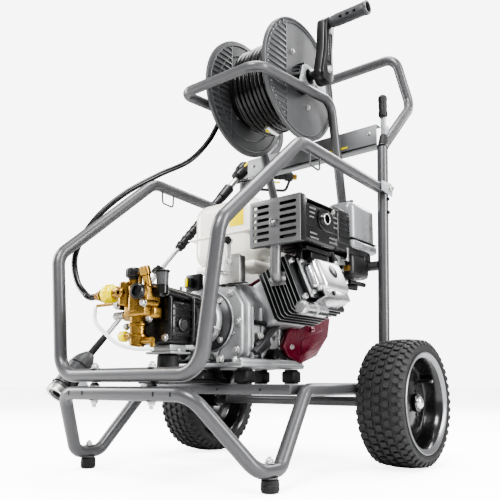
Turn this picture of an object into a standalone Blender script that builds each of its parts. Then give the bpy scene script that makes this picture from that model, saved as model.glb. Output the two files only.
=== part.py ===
"""Petrol pressure washer on a tubular steel trolley with a hose reel, in metres.

X = 0 is the machine's middle plane, +X its left side, -Y its front with the pump, and
the floor is Z = 0. Each named object is one closed piece.
"""
import math

import bmesh
import bpy
from mathutils import Matrix, Quaternion, Vector

GAP = 0.0003                      # clearance between pieces that touch

# Overall layout
LENGTH = 0.888                    # bumper front to the back of the handle
HANDLE_Z = 1.158                  # centre of the handle bar
DECK_Z = 0.182                    # centre of the side rails of the base tube

# Tubes
TUBE_R = 0.014
HANDLE_R = 0.014
HOOP_R = 0.0125
TUBE_SIDES = 2                    # bevel resolution of the frame tubes

# Base tube
BUMPER_Y = -LENGTH / 2 + TUBE_R
BUMPER_HALF = 0.185
BUMPER_Z = 0.1756
RAIL_HALF = 0.2400
LEG_HALF = 0.2645
FOOT_R = 0.0165
FOOT_HEIGHT = 0.0245
FOOT_SOLE = 0.004
KNEE_Y = LENGTH / 2 - HANDLE_R + 0.0065

# Wheels
TYRE_R = 0.150
TYRE_WIDTH = 0.112
RIM_R = 0.104
RIM_FLANGE_R = 0.117
HUB_R = 0.022
HUB_BORE_R = 0.0125
AXLE_R = 0.0120
WHEEL_STEPS = 32
TYRE_GAP = 0.004                  # from the side rail to the tyre
TRACK = 2 * (RAIL_HALF + TUBE_R + TYRE_GAP) + TYRE_WIDTH
AXLE_Y = 0.168

# Places that the tubes share
FOOT_Y = -0.302
POST_Y = 0.212
POST_LEAN = 0.048
KINK_Z = 0.824
KINK_Y = POST_Y + POST_LEAN * (KINK_Z - DECK_Z)
HANDLE_SLOPE = 0.960              # rise over run from the post to the knee
KNEE_Z = KINK_Z + HANDLE_SLOPE * (KNEE_Y - KINK_Y)
HOOK_BACK = 0.010
CROSSBAR_Z = 0.500
CROSSBAR_Y = POST_Y + POST_LEAN * (CROSSBAR_Z - DECK_Z)

# Engine
ENGINE_BASE_Z = 0.228
CRANK_Z = 0.335
ENGINE_FRONT_Y = -0.175
CASE_HALF = 0.100
CASE_LENGTH = 0.215
CYLINDER_TILT = math.radians(23.0)
CYLINDER_Y = -0.040
SHAFT_R = 0.0125

# Cross rails and engine mounts
CROSS_WIDTH = 0.050
CROSS_HEIGHT = 0.022
MOUNT_X = (-0.005, 0.088)
MOUNT_Y = (-0.158, 0.022)
MOUNT_R = 0.0165

# Pump
PUMP_Z = 0.335
PUMP_FRONT_Y = -0.425

# Reel
REEL_Y = 0.067
REEL_Z = 0.993
REEL_HALF = 0.0922
FLANGE_R = 0.162
FLANGE_THICK = 0.006
DRUM_R = 0.052
COIL_R = 0.118
REEL_SHAFT_R = 0.011
HOOP_HALF = REEL_HALF + 0.0298
CRANK_TILT = math.radians(6.0)
CRANK_LENGTH = 0.138
CRANK_X = REEL_HALF + 0.083
CRANK_DEPTH = 0.034
HOOP_FRONT_Y = -0.155
HOOP_BACK_Y = 0.167
HOOP_Z = 0.940

# Spray gun
LANCE_X = -0.292
LANCE_R = 0.0075
LANCE_TILT = math.radians(46.8)
LANCE_START = Vector((LANCE_X, -0.376, 0.170))

# Free hoses
HOSE_START = REEL_HALF + 0.0345
HOSE_R = 0.0070
BLEED_R = 0.0040

X = Vector((1.0, 0.0, 0.0))
Y = Vector((0.0, 1.0, 0.0))
Z = Vector((0.0, 0.0, 1.0))

COLOURS = {
    "tube_paint": ((0.18, 0.18, 0.18), 0.35, 0.6),
    "panel_grey": ((0.50, 0.51, 0.52), 0.45, 0.3),
    "rubber": ((0.02, 0.02, 0.02), 0.80, 0.0),
    "tyre": ((0.025, 0.025, 0.025), 0.85, 0.0),
    "rim_black": ((0.03, 0.03, 0.03), 0.35, 0.0),
    "cast_alloy": ((0.55, 0.55, 0.55), 0.50, 0.8),
    "black_metal": ((0.03, 0.03, 0.03), 0.50, 0.3),
    "bright_steel": ((0.65, 0.65, 0.65), 0.30, 1.0),
    "brass": ((0.60, 0.38, 0.12), 0.35, 0.9),
    "yellow": ((0.75, 0.75, 0.05), 0.45, 0.0),
    "maroon": ((0.22, 0.01, 0.05), 0.35, 0.0),
    "tank_white": ((0.80, 0.79, 0.75), 0.35, 0.0),
    "black_plastic": ((0.03, 0.03, 0.03), 0.50, 0.0),
    "grey_plastic": ((0.30, 0.31, 0.32), 0.50, 0.0),
    "hose_black": ((0.02, 0.02, 0.02), 0.60, 0.0),
    "clear_tube": ((0.75, 0.80, 0.85), 0.15, 0.0),
}
MATERIALS = {}


# ---------------------------------------------------------------- helpers

def clear_scene():
    """Remove every object that the file starts with."""
    for item in list(bpy.data.objects):
        bpy.data.objects.remove(item, do_unlink=True)


def new_collection(name):
    """Make a collection in the scene."""
    collection = bpy.data.collections.new(name)
    bpy.context.scene.collection.children.link(collection)
    return collection


def material(slot):
    """Give a slot's Principled material, made once."""
    if slot in MATERIALS:
        return MATERIALS[slot]
    colour, roughness, metallic = COLOURS[slot]
    made = bpy.data.materials.new(slot)
    made.use_nodes = True
    shader = made.node_tree.nodes["Principled BSDF"]
    shader.inputs["Base Color"].default_value = (*colour, 1.0)
    shader.inputs["Roughness"].default_value = roughness
    shader.inputs["Metallic"].default_value = metallic
    MATERIALS[slot] = made
    return made


def turn_to(direction):
    """Rotation that takes +Z to a direction."""
    return Z.rotation_difference(Vector(direction).normalized())


def place(item, slot, at=(0, 0, 0), rotation=None):
    """Link an object to the washer's collection, with its material and place."""
    WASHER.objects.link(item)
    item.data.materials.append(material(slot))
    item.location = at
    if rotation is not None:
        item.rotation_mode = "QUATERNION"
        item.rotation_quaternion = rotation
    return item


def mesh_object(name, bm, slot, at=(0, 0, 0), rotation=None):
    """Turn a bmesh into a placed object."""
    bmesh.ops.recalc_face_normals(bm, faces=bm.faces)
    mesh = bpy.data.meshes.new(name)
    bm.to_mesh(mesh)
    bm.free()
    return place(bpy.data.objects.new(name, mesh), slot, at, rotation)


def box(name, size, at, slot, bevel=0.0, rotation=None, segments=2):
    """A box given by its size and centre, with rounded edges."""
    bm = bmesh.new()
    bmesh.ops.create_cube(bm, size=1.0)
    bmesh.ops.scale(bm, vec=size, verts=bm.verts)
    item = mesh_object(name, bm, slot, at, rotation)
    if bevel > 0.0:
        rounding = item.modifiers.new("edges", "BEVEL")
        rounding.width = bevel
        rounding.segments = segments
        rounding.limit_method = "ANGLE"
    return item


def cylinder(name, radius, length, at, direction, slot, sides=24, top_radius=None):
    """A cylinder or cone centred at a point, along a direction."""
    bm = bmesh.new()
    top = radius if top_radius is None else top_radius
    bmesh.ops.create_cone(bm, cap_ends=True, segments=sides, radius1=radius, radius2=top, depth=length)
    return mesh_object(name, bm, slot, at, turn_to(direction))


def turned(name, profile, at, direction, slot, steps=32):
    """A closed (radius, height) outline, given clockwise, turned about an axis."""
    mesh = bpy.data.meshes.new(name)
    count = len(profile)
    edges = [(i, (i + 1) % count) for i in range(count)]
    mesh.from_pydata([(radius, 0.0, height) for radius, height in profile], edges, [])
    item = place(bpy.data.objects.new(name, mesh), slot, at, turn_to(direction))
    screw = item.modifiers.new("turn", "SCREW")
    screw.steps = steps
    screw.render_steps = steps
    screw.merge_threshold = 0.00001
    screw.use_merge_vertices = True
    return item


def turned_solid(name, profile, at, direction, slot, steps=32):
    """An outline that starts and ends on the axis, turned into a solid piece."""
    mesh = bpy.data.meshes.new(name)
    edges = [(i, i + 1) for i in range(len(profile) - 1)]
    mesh.from_pydata([(radius, 0.0, height) for radius, height in profile], edges, [])
    item = place(bpy.data.objects.new(name, mesh), slot, at, turn_to(direction))
    screw = item.modifiers.new("turn", "SCREW")
    screw.steps = steps
    screw.render_steps = steps
    screw.merge_threshold = 0.00001
    screw.use_merge_vertices = True
    return item


def rounded(points, radii, step_angle=15.0):
    """A polyline whose inner corners are arcs of the given radii."""
    path = [Vector(points[0])]
    for before, corner, after, radius in zip(points, points[1:], points[2:], radii):
        corner = Vector(corner)
        back = (Vector(before) - corner).normalized()
        ahead = (Vector(after) - corner).normalized()
        half = back.angle(ahead) / 2
        reach = radius / math.tan(half)
        centre = corner + (back + ahead).normalized() * (radius / math.sin(half))
        start = corner + back * reach - centre
        sweep = math.pi - 2 * half
        count = max(2, round(math.degrees(sweep) / step_angle))
        axis = back.cross(ahead).normalized()
        for i in range(count + 1):
            turn = Quaternion(axis, -sweep * i / count)
            path.append(centre + turn @ start)
    path.append(Vector(points[-1]))
    return path


def smooth_route(points, spacing):
    """Points at an even spacing on a smooth curve through a route's own points."""
    pts = [Vector(p) for p in points]
    pts = [2 * pts[0] - pts[1]] + pts + [2 * pts[-1] - pts[-2]]
    fine = []
    for a, b, c, d in zip(pts, pts[1:], pts[2:], pts[3:]):
        for i in range(24):
            t = i / 24
            fine.append(0.5 * (2 * b + (c - a) * t + (2 * a - 5 * b + 4 * c - d) * t * t
                               + (3 * b - a - 3 * c + d) * t ** 3))
    fine.append(pts[-2])
    lengths = [(q - p).length for p, q in zip(fine, fine[1:])]
    count = max(2, round(sum(lengths) / spacing))
    pace = sum(lengths) / count
    route = [fine[0]]
    gone = 0.0
    for p, q, length in zip(fine, fine[1:], lengths):
        while len(route) < count and gone + length >= pace * len(route):
            route.append(p.lerp(q, (pace * len(route) - gone) / length))
        gone += length
    route.append(fine[-1])
    return route


def tube(name, path, radius, slot, resolution=TUBE_SIDES):
    """A round bar along a path."""
    curve = bpy.data.curves.new(name, "CURVE")
    curve.dimensions = "3D"
    spline = curve.splines.new("POLY")
    spline.points.add(len(path) - 1)
    for point, where in zip(spline.points, path):
        point.co = (*where, 1.0)
    curve.bevel_depth = radius
    curve.bevel_resolution = resolution
    curve.use_fill_caps = True
    return place(bpy.data.objects.new(name, curve), slot)


def plate(name, outline, thickness, at, rotation, slot):
    """A flat piece with the given outline, in its own XY plane."""
    curve = bpy.data.curves.new(name, "CURVE")
    curve.dimensions = "2D"
    curve.fill_mode = "BOTH"
    curve.extrude = thickness / 2
    spline = curve.splines.new("POLY")
    spline.points.add(len(outline) - 1)
    for point, where in zip(spline.points, outline):
        point.co = (*where, 0.0, 1.0)
    spline.use_cyclic_u = True
    return to_mesh(place(bpy.data.objects.new(name, curve), slot, at, rotation))


def to_mesh(item):
    """Make a curve or a modified object a plain welded mesh."""
    bpy.context.view_layer.update()
    graph = bpy.context.evaluated_depsgraph_get()
    mesh = bpy.data.meshes.new_from_object(item.evaluated_get(graph))
    bm = bmesh.new()
    bm.from_mesh(mesh)
    bmesh.ops.remove_doubles(bm, verts=bm.verts, dist=0.00001)
    bm.to_mesh(mesh)
    bm.free()
    name = item.name
    solid = bpy.data.objects.new(name + "_solid", mesh)
    WASHER.objects.link(solid)
    solid.matrix_world = item.matrix_world.copy()
    bpy.data.objects.remove(item, do_unlink=True)
    solid.name = name
    return solid


def apply_boolean(item, others, operation):
    """Cut other pieces from an item, or join them to it."""
    for number, other in enumerate(others):
        WASHER.objects.unlink(other)
        CUTTERS.objects.link(other)
        other.hide_render = True
        other.display_type = "WIRE"
        step = item.modifiers.new("%s_%d" % (operation.lower(), number), "BOOLEAN")
        step.operation = operation
        step.object = other
    return item


def cut(item, *others):
    """Remove other pieces' shapes from an item."""
    return apply_boolean(item, others, "DIFFERENCE")


def join(item, *others):
    """Unite other pieces with an item into one body."""
    return apply_boolean(item, others, "UNION")


def mirrored(points):
    """The points followed by their mirror images in X = 0, in reverse."""
    near = [Vector(p) for p in points]
    far = [Vector((-p.x, p.y, p.z)) for p in reversed(near)]
    return near + far


# ---------------------------------------------------------------- frame

def build_base_tube():
    """Bumper bow, both legs, side rails and rear posts, bent from one tube."""
    foot_top = FOOT_HEIGHT + TUBE_R
    near = [
        (RAIL_HALF, KINK_Y, KINK_Z),
        (RAIL_HALF, POST_Y, DECK_Z),
        (RAIL_HALF + 0.004, FOOT_Y + 0.152, DECK_Z),
        (LEG_HALF, FOOT_Y + 0.030, foot_top),
        (LEG_HALF, FOOT_Y - 0.036, foot_top),
        (BUMPER_HALF, BUMPER_Y, BUMPER_Z),
    ]
    bends = [0.060, 0.035, 0.030, 0.045, 0.050]
    tube("base_tube", rounded(mirrored(near), bends + bends[::-1]), TUBE_R, "tube_paint")


def build_cage_tube():
    """Upper cage: bottom bow, uprights and the arms back to the posts."""
    arm_z = 0.705
    arm_end_y = POST_Y + POST_LEAN * (arm_z - DECK_Z) - TUBE_R - 0.006
    near = [
        (RAIL_HALF, arm_end_y, arm_z),
        (0.2330, -0.145, 0.7195),
        (0.2432, BUMPER_Y + 0.010, 0.481),
        (0.2050, BUMPER_Y + 0.004, 0.2113),
    ]
    bends = [0.060, 0.050, 0.055]
    tube("cage_tube", rounded(mirrored(near), bends + bends[::-1]), TUBE_R, "tube_paint")


def build_handle_tube():
    """Handle: back from the post tops, up and across."""
    start = Vector((RAIL_HALF, KINK_Y, KINK_Z))
    knee = Vector((0.2400, KNEE_Y, KNEE_Z))
    start += (knee - start).normalized() * 0.012
    near = [start, knee, (0.2150, KNEE_Y - 0.040, HANDLE_Z)]
    bends = [0.050, 0.040]
    tube("handle_tube", rounded(mirrored(near), bends + bends[::-1]), HANDLE_R, "tube_paint")


def build_reel_hoop():
    """Hoop that carries the reel: legs from the rear rail, arms and front bar."""
    near = [
        (0.1080, CROSSBAR_Y, CROSSBAR_Z + HOOP_R + 0.0015),
        (0.1110, CROSSBAR_Y + 0.018, 0.700),
        (HOOP_HALF + 0.006, HOOP_BACK_Y, HOOP_Z + 0.020),
        (HOOP_HALF, HOOP_FRONT_Y, HOOP_Z - 0.005),
    ]
    bends = [0.060, 0.045, 0.035]
    tube("reel_hoop", rounded(mirrored(near), bends + bends[::-1]), HOOP_R, "tube_paint")


def build_cross_rails():
    """Box rails between the side tubes, which carry the engine and the hoop."""
    places = {
        "front_cross_rail": MOUNT_Y[0],
        "middle_cross_rail": MOUNT_Y[1],
    }
    width = 2 * (RAIL_HALF - TUBE_R - 0.004)
    for name, where in places.items():
        box(name, (width, CROSS_WIDTH, CROSS_HEIGHT), (0, where, DECK_Z), "tube_paint", 0.002)


def build_crossbar():
    """Tube between the rear posts that the hoop stands on."""
    end = RAIL_HALF - TUBE_R - 0.001
    path = [(-end, CROSSBAR_Y, CROSSBAR_Z), (end, CROSSBAR_Y, CROSSBAR_Z)]
    tube("rear_crossbar", path, HOOP_R, "tube_paint")


def build_feet():
    """Rubber feet under the two legs."""
    for side, name in ((1, "foot_left"), (-1, "foot_right")):
        profile = [(0.0, FOOT_HEIGHT - GAP), (FOOT_R, FOOT_HEIGHT - GAP), (FOOT_R, FOOT_SOLE),
                   (FOOT_R - 0.002, 0.0), (0.0, 0.0)]
        turned_solid(name, profile, (side * LEG_HALF, FOOT_Y, 0.0), Z, "rubber", 24)


def build_bumper_spacers():
    """Rubber cones between the lower bumper and the cage."""
    low = BUMPER_Z + TUBE_R + GAP
    high = 0.2113 - TUBE_R - GAP
    middle = (low + high) / 2
    for side, name in ((1, "bumper_spacer_left"), (-1, "bumper_spacer_right")):
        cylinder(name, 0.010, high - low, (side * 0.085, BUMPER_Y + 0.002, middle), Z, "rubber", 16, 0.006)


def build_rear_panel():
    """Folded channel across the posts, above their bends."""
    half = RAIL_HALF - HANDLE_R - 0.004
    wide = box("rear_cross_panel", (2 * half, 0.024, 0.060), (0, KINK_Y + 0.012, 0.863), "panel_grey", 0.002)
    hollow = box("panel_hollow", (2 * half - 0.012, 0.024, 0.054), (0, KINK_Y + 0.015, 0.863), "panel_grey")
    cut(wide, hollow)


def build_hose_hook():
    """Flat steel hook on the left post with a rubber grip."""
    foot_z = KINK_Z + 0.034
    grip_z = foot_z + 0.056
    bar = Vector((RAIL_HALF, KINK_Y + HOOK_BACK, (foot_z + grip_z) / 2))
    box("hose_hook", (0.014, 0.006, grip_z - foot_z), bar, "panel_grey", 0.001)
    profile = [(0.0, 0.058), (0.008, 0.057), (0.0125, 0.050), (0.0115, 0.026), (0.0125, 0.004),
               (0.010, 0.0), (0.0, 0.0)]
    turned_solid("hook_grip", profile, (RAIL_HALF, KINK_Y + HOOK_BACK, grip_z + GAP), Z, "rubber", 20)


def build_engine_mounts():
    """Four rubber blocks between the cross rails and the engine's base."""
    low = DECK_Z + CROSS_HEIGHT / 2 + GAP
    high = ENGINE_BASE_Z - GAP
    number = 1
    for y in MOUNT_Y:
        for x in MOUNT_X:
            middle = (x, y, (low + high) / 2)
            cylinder("engine_mount_%d" % number, MOUNT_R, high - low, middle, Z, "rubber", 20)
            number += 1


# ---------------------------------------------------------------- wheels

def build_axle():
    """Axle across the two hubs, under the side rails."""
    length = TRACK + TYRE_WIDTH * 0.55
    cylinder("axle", AXLE_R, length, (0, AXLE_Y, TYRE_R), X, "tube_paint", 20)


def build_wheels():
    """Turf tyre and dished steel rim on each end of the axle."""
    half = TYRE_WIDTH / 2
    tyre_profile = [
        (RIM_R, half * 0.72), (RIM_FLANGE_R + 0.004, half * 0.98), (TYRE_R - 0.018, half),
        (TYRE_R - 0.005, half * 0.86), (TYRE_R, half * 0.45), (TYRE_R, -half * 0.45),
        (TYRE_R - 0.005, -half * 0.86), (TYRE_R - 0.018, -half), (RIM_FLANGE_R + 0.004, -half * 0.98),
        (RIM_R, -half * 0.72),
    ]
    barrel = RIM_R - GAP
    rim_profile = [
        (barrel, half * 0.70), (barrel, -half * 0.70), (barrel - 0.004, -half * 0.70),
        (barrel - 0.006, half * 0.05), (0.060, half * 0.10), (HUB_R + 0.012, half * 0.30),
        (HUB_R, -half * 0.75), (HUB_BORE_R, -half * 0.75), (HUB_BORE_R, half * 0.62), (HUB_R, half * 0.62),
        (HUB_R + 0.014, half * 0.42), (0.060, half * 0.22), (barrel - 0.010, half * 0.17),
        (barrel - 0.005, half * 0.70),
    ]
    for side, name in ((1, "left"), (-1, "right")):
        at = (side * TRACK / 2, AXLE_Y, TYRE_R)
        turned("tyre_" + name, tyre_profile, at, side * X, "tyre", WHEEL_STEPS)
        turned("rim_" + name, rim_profile, at, side * X, "rim_black", WHEEL_STEPS)


# ---------------------------------------------------------------- engine

def cylinder_point(along, across=0.0, y=CYLINDER_Y):
    """A point on the tilted cylinder's own axis, measured from the crankshaft."""
    c = math.cos(CYLINDER_TILT)
    s = math.sin(CYLINDER_TILT)
    return Vector((along * c - across * s, y, CRANK_Z + along * s + across * c))


def build_crankcase():
    """Cast crankcase with its base feet and a bore for the shaft."""
    height = 2 * (CRANK_Z - ENGINE_BASE_Z) - 0.020
    middle_y = ENGINE_FRONT_Y + CASE_LENGTH / 2
    case = box("crankcase", (2 * CASE_HALF, CASE_LENGTH, height), (0, middle_y, ENGINE_BASE_Z + height / 2),
               "cast_alloy", 0.020, None, 2)
    feet = box("engine_feet", (2 * CASE_HALF + 0.020, 0.245, 0.014),
               (0.008, MOUNT_Y[1] - 0.106, ENGINE_BASE_Z + 0.007), "cast_alloy")
    bore_at = (0, middle_y, CRANK_Z)
    bore = cylinder("shaft_bore", SHAFT_R + 0.0015, CASE_LENGTH + 0.050, bore_at, Y, "cast_alloy", 24)
    join(case, feet)
    cut(case, bore)


def build_crankshaft():
    """Shaft through the crankcase, with the flywheel behind it."""
    start = ENGINE_FRONT_Y - 0.045
    end = ENGINE_FRONT_Y + CASE_LENGTH + 0.050
    wheel_y = ENGINE_FRONT_Y + CASE_LENGTH + 0.014
    profile = [
        (0.0, end - start), (SHAFT_R, end - start), (SHAFT_R, wheel_y + 0.018 - start),
        (0.085, wheel_y + 0.018 - start), (0.085, wheel_y - start), (SHAFT_R, wheel_y - start),
        (SHAFT_R, 0.0), (0.0, 0.0),
    ]
    turned_solid("crankshaft", profile, (0, start, CRANK_Z), Y, "bright_steel", 24)


def build_cylinder():
    """Finned cylinder that leans up towards the left, and its head."""
    turn = Quaternion(Y, -CYLINDER_TILT)
    first = CASE_HALF + 0.030
    body_end = 0.228
    size = (body_end - first, 0.120, 0.100)
    body = box("cylinder_block", size, cylinder_point((first + body_end) / 2), "cast_alloy", 0.0, turn)
    fins = []
    count = 6
    for i in range(count):
        along = first + 0.012 + i * (body_end - first - 0.018) / (count - 1)
        fins.append(box("fin_%d" % i, (0.0045, 0.178, 0.130), cylinder_point(along), "cast_alloy", 0.0, turn))
    join(body, *fins)
    body_gap = body_end + GAP
    middle = cylinder_point(body_gap + 0.020)
    box("valve_cover", (0.040, 0.130, 0.092), middle, "bright_steel", 0.012, turn, 2)


def build_exhaust():
    """Exhaust elbow, muffler box and the slotted guard in front of it."""
    middle = Vector((0.170, -0.070, 0.549))
    size = Vector((0.128, 0.162, 0.098))
    guard_y = middle.y - size.y / 2 - 0.004
    elbow_y = CYLINDER_Y - 0.0995
    elbow = [(0.150, elbow_y, 0.436), (0.150, elbow_y, middle.z - size.z / 2 - GAP)]
    tube("exhaust_elbow", elbow, 0.0085, "black_metal")
    box("muffler", size, middle, "black_metal", 0.010, None, 2)
    guard = box("muffler_guard", (0.138, 0.0035, 0.106), (middle.x, guard_y, middle.z), "black_metal")
    slots = []
    for column in (-1, 1):
        for row in range(5):
            where = (middle.x + column * 0.036, guard_y, middle.z - 0.036 + row * 0.018)
            slots.append(box("slot_%d_%d" % (column, row), (0.040, 0.010, 0.007), where, "black_metal"))
    cut(guard, *slots)


def build_carburettor():
    """Carburettor behind the cylinder, with its bowl."""
    at = Vector((0.165, CYLINDER_Y + 0.135, 0.490))
    body = box("carburettor", (0.046, 0.060, 0.050), at, "cast_alloy", 0.004)
    bowl = cylinder("bowl", 0.021, 0.040, at - Z * 0.040, Z, "cast_alloy", 20)
    join(body, bowl)


def build_air_cleaner():
    """Air cleaner base, and the cover behind it with a wing knob."""
    low = 0.530
    seam_y = 0.122
    box("air_cleaner_base", (0.080, 0.070, 0.095), (0.165, seam_y - 0.035 - GAP / 2, low + 0.0475),
        "black_plastic", 0.010, None, 2)
    cover_at = Vector((0.168, seam_y + 0.066, low + 0.066))
    cover = box("air_cleaner_cover", (0.082, 0.132, 0.132), cover_at, "grey_plastic", 0.016, None, 2)
    knob = cylinder("wing", 0.009, 0.014, cover_at + Vector((0, -0.010, 0.070)), Z, "black_plastic", 12)
    join(cover, knob)


def build_fuel_tank():
    """Rounded fuel tank over the fan housing, and its screw cap."""
    size = (0.218, 0.230, 0.176)
    at = Vector((-0.055, 0.035, 0.573))
    tank = box("fuel_tank", size, at, "tank_white", 0.034, None, 3)
    neck_at = Vector((-0.080, 0.060, at.z + size[2] / 2 + 0.003))
    neck = cylinder("tank_neck", 0.026, 0.012, neck_at, Z, "tank_white", 24)
    join(tank, neck)
    top = neck_at.z + 0.006 + GAP
    profile = [(0.0, 0.022), (0.030, 0.020), (0.034, 0.014), (0.034, 0.0), (0.0, 0.0)]
    turned_solid("tank_cap", profile, (neck_at.x, neck_at.y, top), Z, "black_plastic", 24)


def build_fan_cover():
    """Fan cover open at the front, over the flywheel."""
    front = ENGINE_FRONT_Y + CASE_LENGTH + 0.008
    depth = 0.097
    profile = [
        (0.040, depth), (0.098, depth - 0.008), (0.116, depth - 0.030),
        (0.122, 0.010), (0.122, 0.0), (0.118, 0.0),
        (0.112, depth - 0.032), (0.095, depth - 0.012), (0.040, depth - 0.004),
    ]
    turned("fan_cover", profile, (0, front, CRANK_Z + 0.016), Y, "maroon", 32)
    grip_at = Vector((-0.136, front + 0.030, CRANK_Z + 0.080))
    box("starter_grip", (0.020, 0.020, 0.070), grip_at, "black_plastic", 0.006)


def build_controls():
    """Throttle lever and engine switch on the front of the engine."""
    y = ENGINE_FRONT_Y - 0.009
    outline = [(-0.006, -0.006), (0.006, -0.006), (0.006, 0.044),
               (0.010, 0.050), (0.000, 0.058), (-0.008, 0.050)]
    stand = Matrix.Rotation(math.radians(90), 4, "X").to_quaternion()
    plate("throttle_lever", outline, 0.004, (0.062, y, 0.466), stand, "black_metal")
    box("engine_switch", (0.022, 0.016, 0.026), (-0.060, y, 0.430), "black_plastic", 0.003)
    cylinder("spark_plug_cap", 0.011, 0.030, cylinder_point(0.248, 0.064, CYLINDER_Y + 0.072),
             (-math.sin(CYLINDER_TILT), 0.0, math.cos(CYLINDER_TILT)), "rubber", 16)


# ---------------------------------------------------------------- pump

def build_pump():
    """Adapter, crankcase, brass manifold and the fittings on them."""
    adapter_y = ENGINE_FRONT_Y - GAP
    neck = 0.104
    profile = [
        (0.068, 0.0), (0.068, -0.014), (0.052, -0.022), (0.046, -neck), (0.026, -neck), (0.026, -0.004),
        (0.040, 0.0),
    ]
    turned("pump_adapter", profile, (0, adapter_y, CRANK_Z), Y, "black_metal", 32)
    case_back = adapter_y - neck - GAP
    case_depth = 0.084
    box("pump_crankcase", (0.120, case_depth, 0.120), (0, case_back - case_depth / 2, PUMP_Z),
        "black_metal", 0.014, None, 2)
    front = case_back - case_depth - GAP
    depth = front - PUMP_FRONT_Y
    middle = Vector((0, front - depth / 2, PUMP_Z + 0.028))
    block = box("pump_manifold", (0.094, depth, 0.084), middle, "brass", 0.006, None, 2)
    column = cylinder("manifold_column", 0.021, 0.060, middle + Vector((0.004, 0, -0.064)), Z, "brass", 20)
    branch = cylinder("manifold_branch", 0.012, 0.030, middle + Vector((-0.055, 0, 0.018)), X, "brass", 20)
    join(block, column, branch)
    knob_at = middle + Vector((-0.010, 0, 0.042 + GAP))
    profile = [(0.0, 0.024), (0.014, 0.023), (0.017, 0.018), (0.017, 0.004), (0.013, 0.0), (0.0, 0.0)]
    turned_solid("pressure_knob", profile, knob_at, Z, "black_plastic", 20)
    coupling_at = middle + Vector((-0.070 - GAP, 0, 0.018))
    profile = [(0.0, 0.062), (0.0105, 0.062), (0.0105, 0.034), (0.018, 0.030), (0.021, 0.022),
               (0.018, 0.006), (0.012, 0.0), (0.0, 0.0)]
    turned_solid("outlet_coupling", profile, coupling_at, -X, "yellow", 24)
    return coupling_at - X * 0.062


def build_pump_bracket():
    """Bracket on the front rail, with a block under the pump."""
    front = MOUNT_Y[0] - CROSS_WIDTH / 2 - 0.185
    length = 0.185 + CROSS_WIDTH / 2 - MOUNT_R - 0.001
    low = DECK_Z + CROSS_HEIGHT / 2 + GAP
    middle = (0.020, front + length / 2, low + 0.006)
    arm = box("pump_bracket", (0.090, length, 0.012), middle, "black_metal", 0.002)
    top = PUMP_Z - 0.060 - GAP
    middle = (0.020, front + 0.043, (top + low) / 2)
    block = box("bracket_block", (0.050, 0.046, top - low), middle, "black_metal")
    join(arm, block)


def build_bleed_tube():
    """Clear tube that loops from beside the outlet round to the pump's underside."""
    route = [(-0.105, -0.418, 0.352), (-0.088, -0.430, 0.322),
             (-0.050, -0.435, 0.296), (-0.008, -0.435, 0.272),
             (0.030, -0.424, 0.262), (0.050, -0.394, 0.262)]
    tube("bleed_tube", smooth_route(route, 0.012), BLEED_R, "clear_tube", 2)


def build_link_hose(coupling_end):
    """Hose from the reel's far side, over the cage arm, down to the outlet coupling."""
    route = [
        (-HOSE_START, REEL_Y, REEL_Z),
        (-HOSE_START - 0.008, REEL_Y, REEL_Z),
        (-HOSE_START - 0.020, REEL_Y - 0.002, REEL_Z - 0.004),
        (-0.172, REEL_Y - 0.014, 0.955),
        (-0.186, REEL_Y - 0.050, 0.880),
        (-0.214, REEL_Y - 0.100, 0.812),
        (-0.252, REEL_Y - 0.180, 0.757),
        (-0.276, REEL_Y - 0.280, 0.682),
        (-0.276, REEL_Y - 0.370, 0.592),
        (-0.262, REEL_Y - 0.428, 0.500),
        (-0.228, REEL_Y - 0.446, 0.430),
        (-0.184, REEL_Y - 0.453, 0.392),
        (coupling_end.x - 0.022, coupling_end.y, coupling_end.z),
        (coupling_end.x - 0.010, coupling_end.y, coupling_end.z),
        (coupling_end.x - GAP, coupling_end.y, coupling_end.z),
    ]
    tube("link_hose", smooth_route(route, 0.020), HOSE_R, "hose_black", 2)


# ---------------------------------------------------------------- reel

def build_reel():
    """Drum on a shaft, two flanges and the wound hose."""
    inner = REEL_HALF - FLANGE_THICK / 2 - GAP
    shaft_end = CRANK_X + 0.009
    profile = [
        (0.0, shaft_end), (REEL_SHAFT_R, shaft_end), (REEL_SHAFT_R, inner), (DRUM_R, inner), (DRUM_R, -inner),
        (REEL_SHAFT_R, -inner), (REEL_SHAFT_R, -REEL_HALF - 0.033), (0.0, -REEL_HALF - 0.033),
    ]
    at = (0, REEL_Y, REEL_Z)
    turned_solid("reel_drum", profile, at, X, "black_plastic", 32)
    bore = REEL_SHAFT_R + GAP
    half = FLANGE_THICK / 2
    flange = [
        (bore, half), (FLANGE_R - 0.006, half), (FLANGE_R - 0.004, half + 0.003), (FLANGE_R, half + 0.003),
        (FLANGE_R, -half), (bore, -half),
    ]
    for side, name in ((1, "reel_flange_left"), (-1, "reel_flange_right")):
        turned(name, flange, (side * REEL_HALF, REEL_Y, REEL_Z), side * X, "grey_plastic", 36)
    coil_half = inner - GAP
    coil = [(DRUM_R + GAP, coil_half), (COIL_R, coil_half), (COIL_R, -coil_half), (DRUM_R + GAP, -coil_half)]
    turned("hose_coil", coil, at, X, "hose_black", 32)


def build_reel_plates():
    """Side plates from the hoop's arms up to the reel's shaft."""
    low = HOOP_Z + HOOP_R + 0.0165 - REEL_Z
    outline = [(-0.045, low - 0.004), (0.045, low), (0.028, 0.018),
               (0.016, 0.027), (-0.016, 0.027), (-0.028, 0.018)]
    stand = Matrix(((0, 0, 1), (1, 0, 0), (0, 1, 0))).to_quaternion()
    for side, name in ((1, "reel_plate_left"), (-1, "reel_plate_right")):
        at = (side * HOOP_HALF, REEL_Y, REEL_Z)
        support = plate(name, outline, 0.005, at, stand, "panel_grey")
        bore = cylinder(name + "_bore", REEL_SHAFT_R + 0.0008, 0.030, at, X, "panel_grey", 24)
        cut(support, bore)


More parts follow.
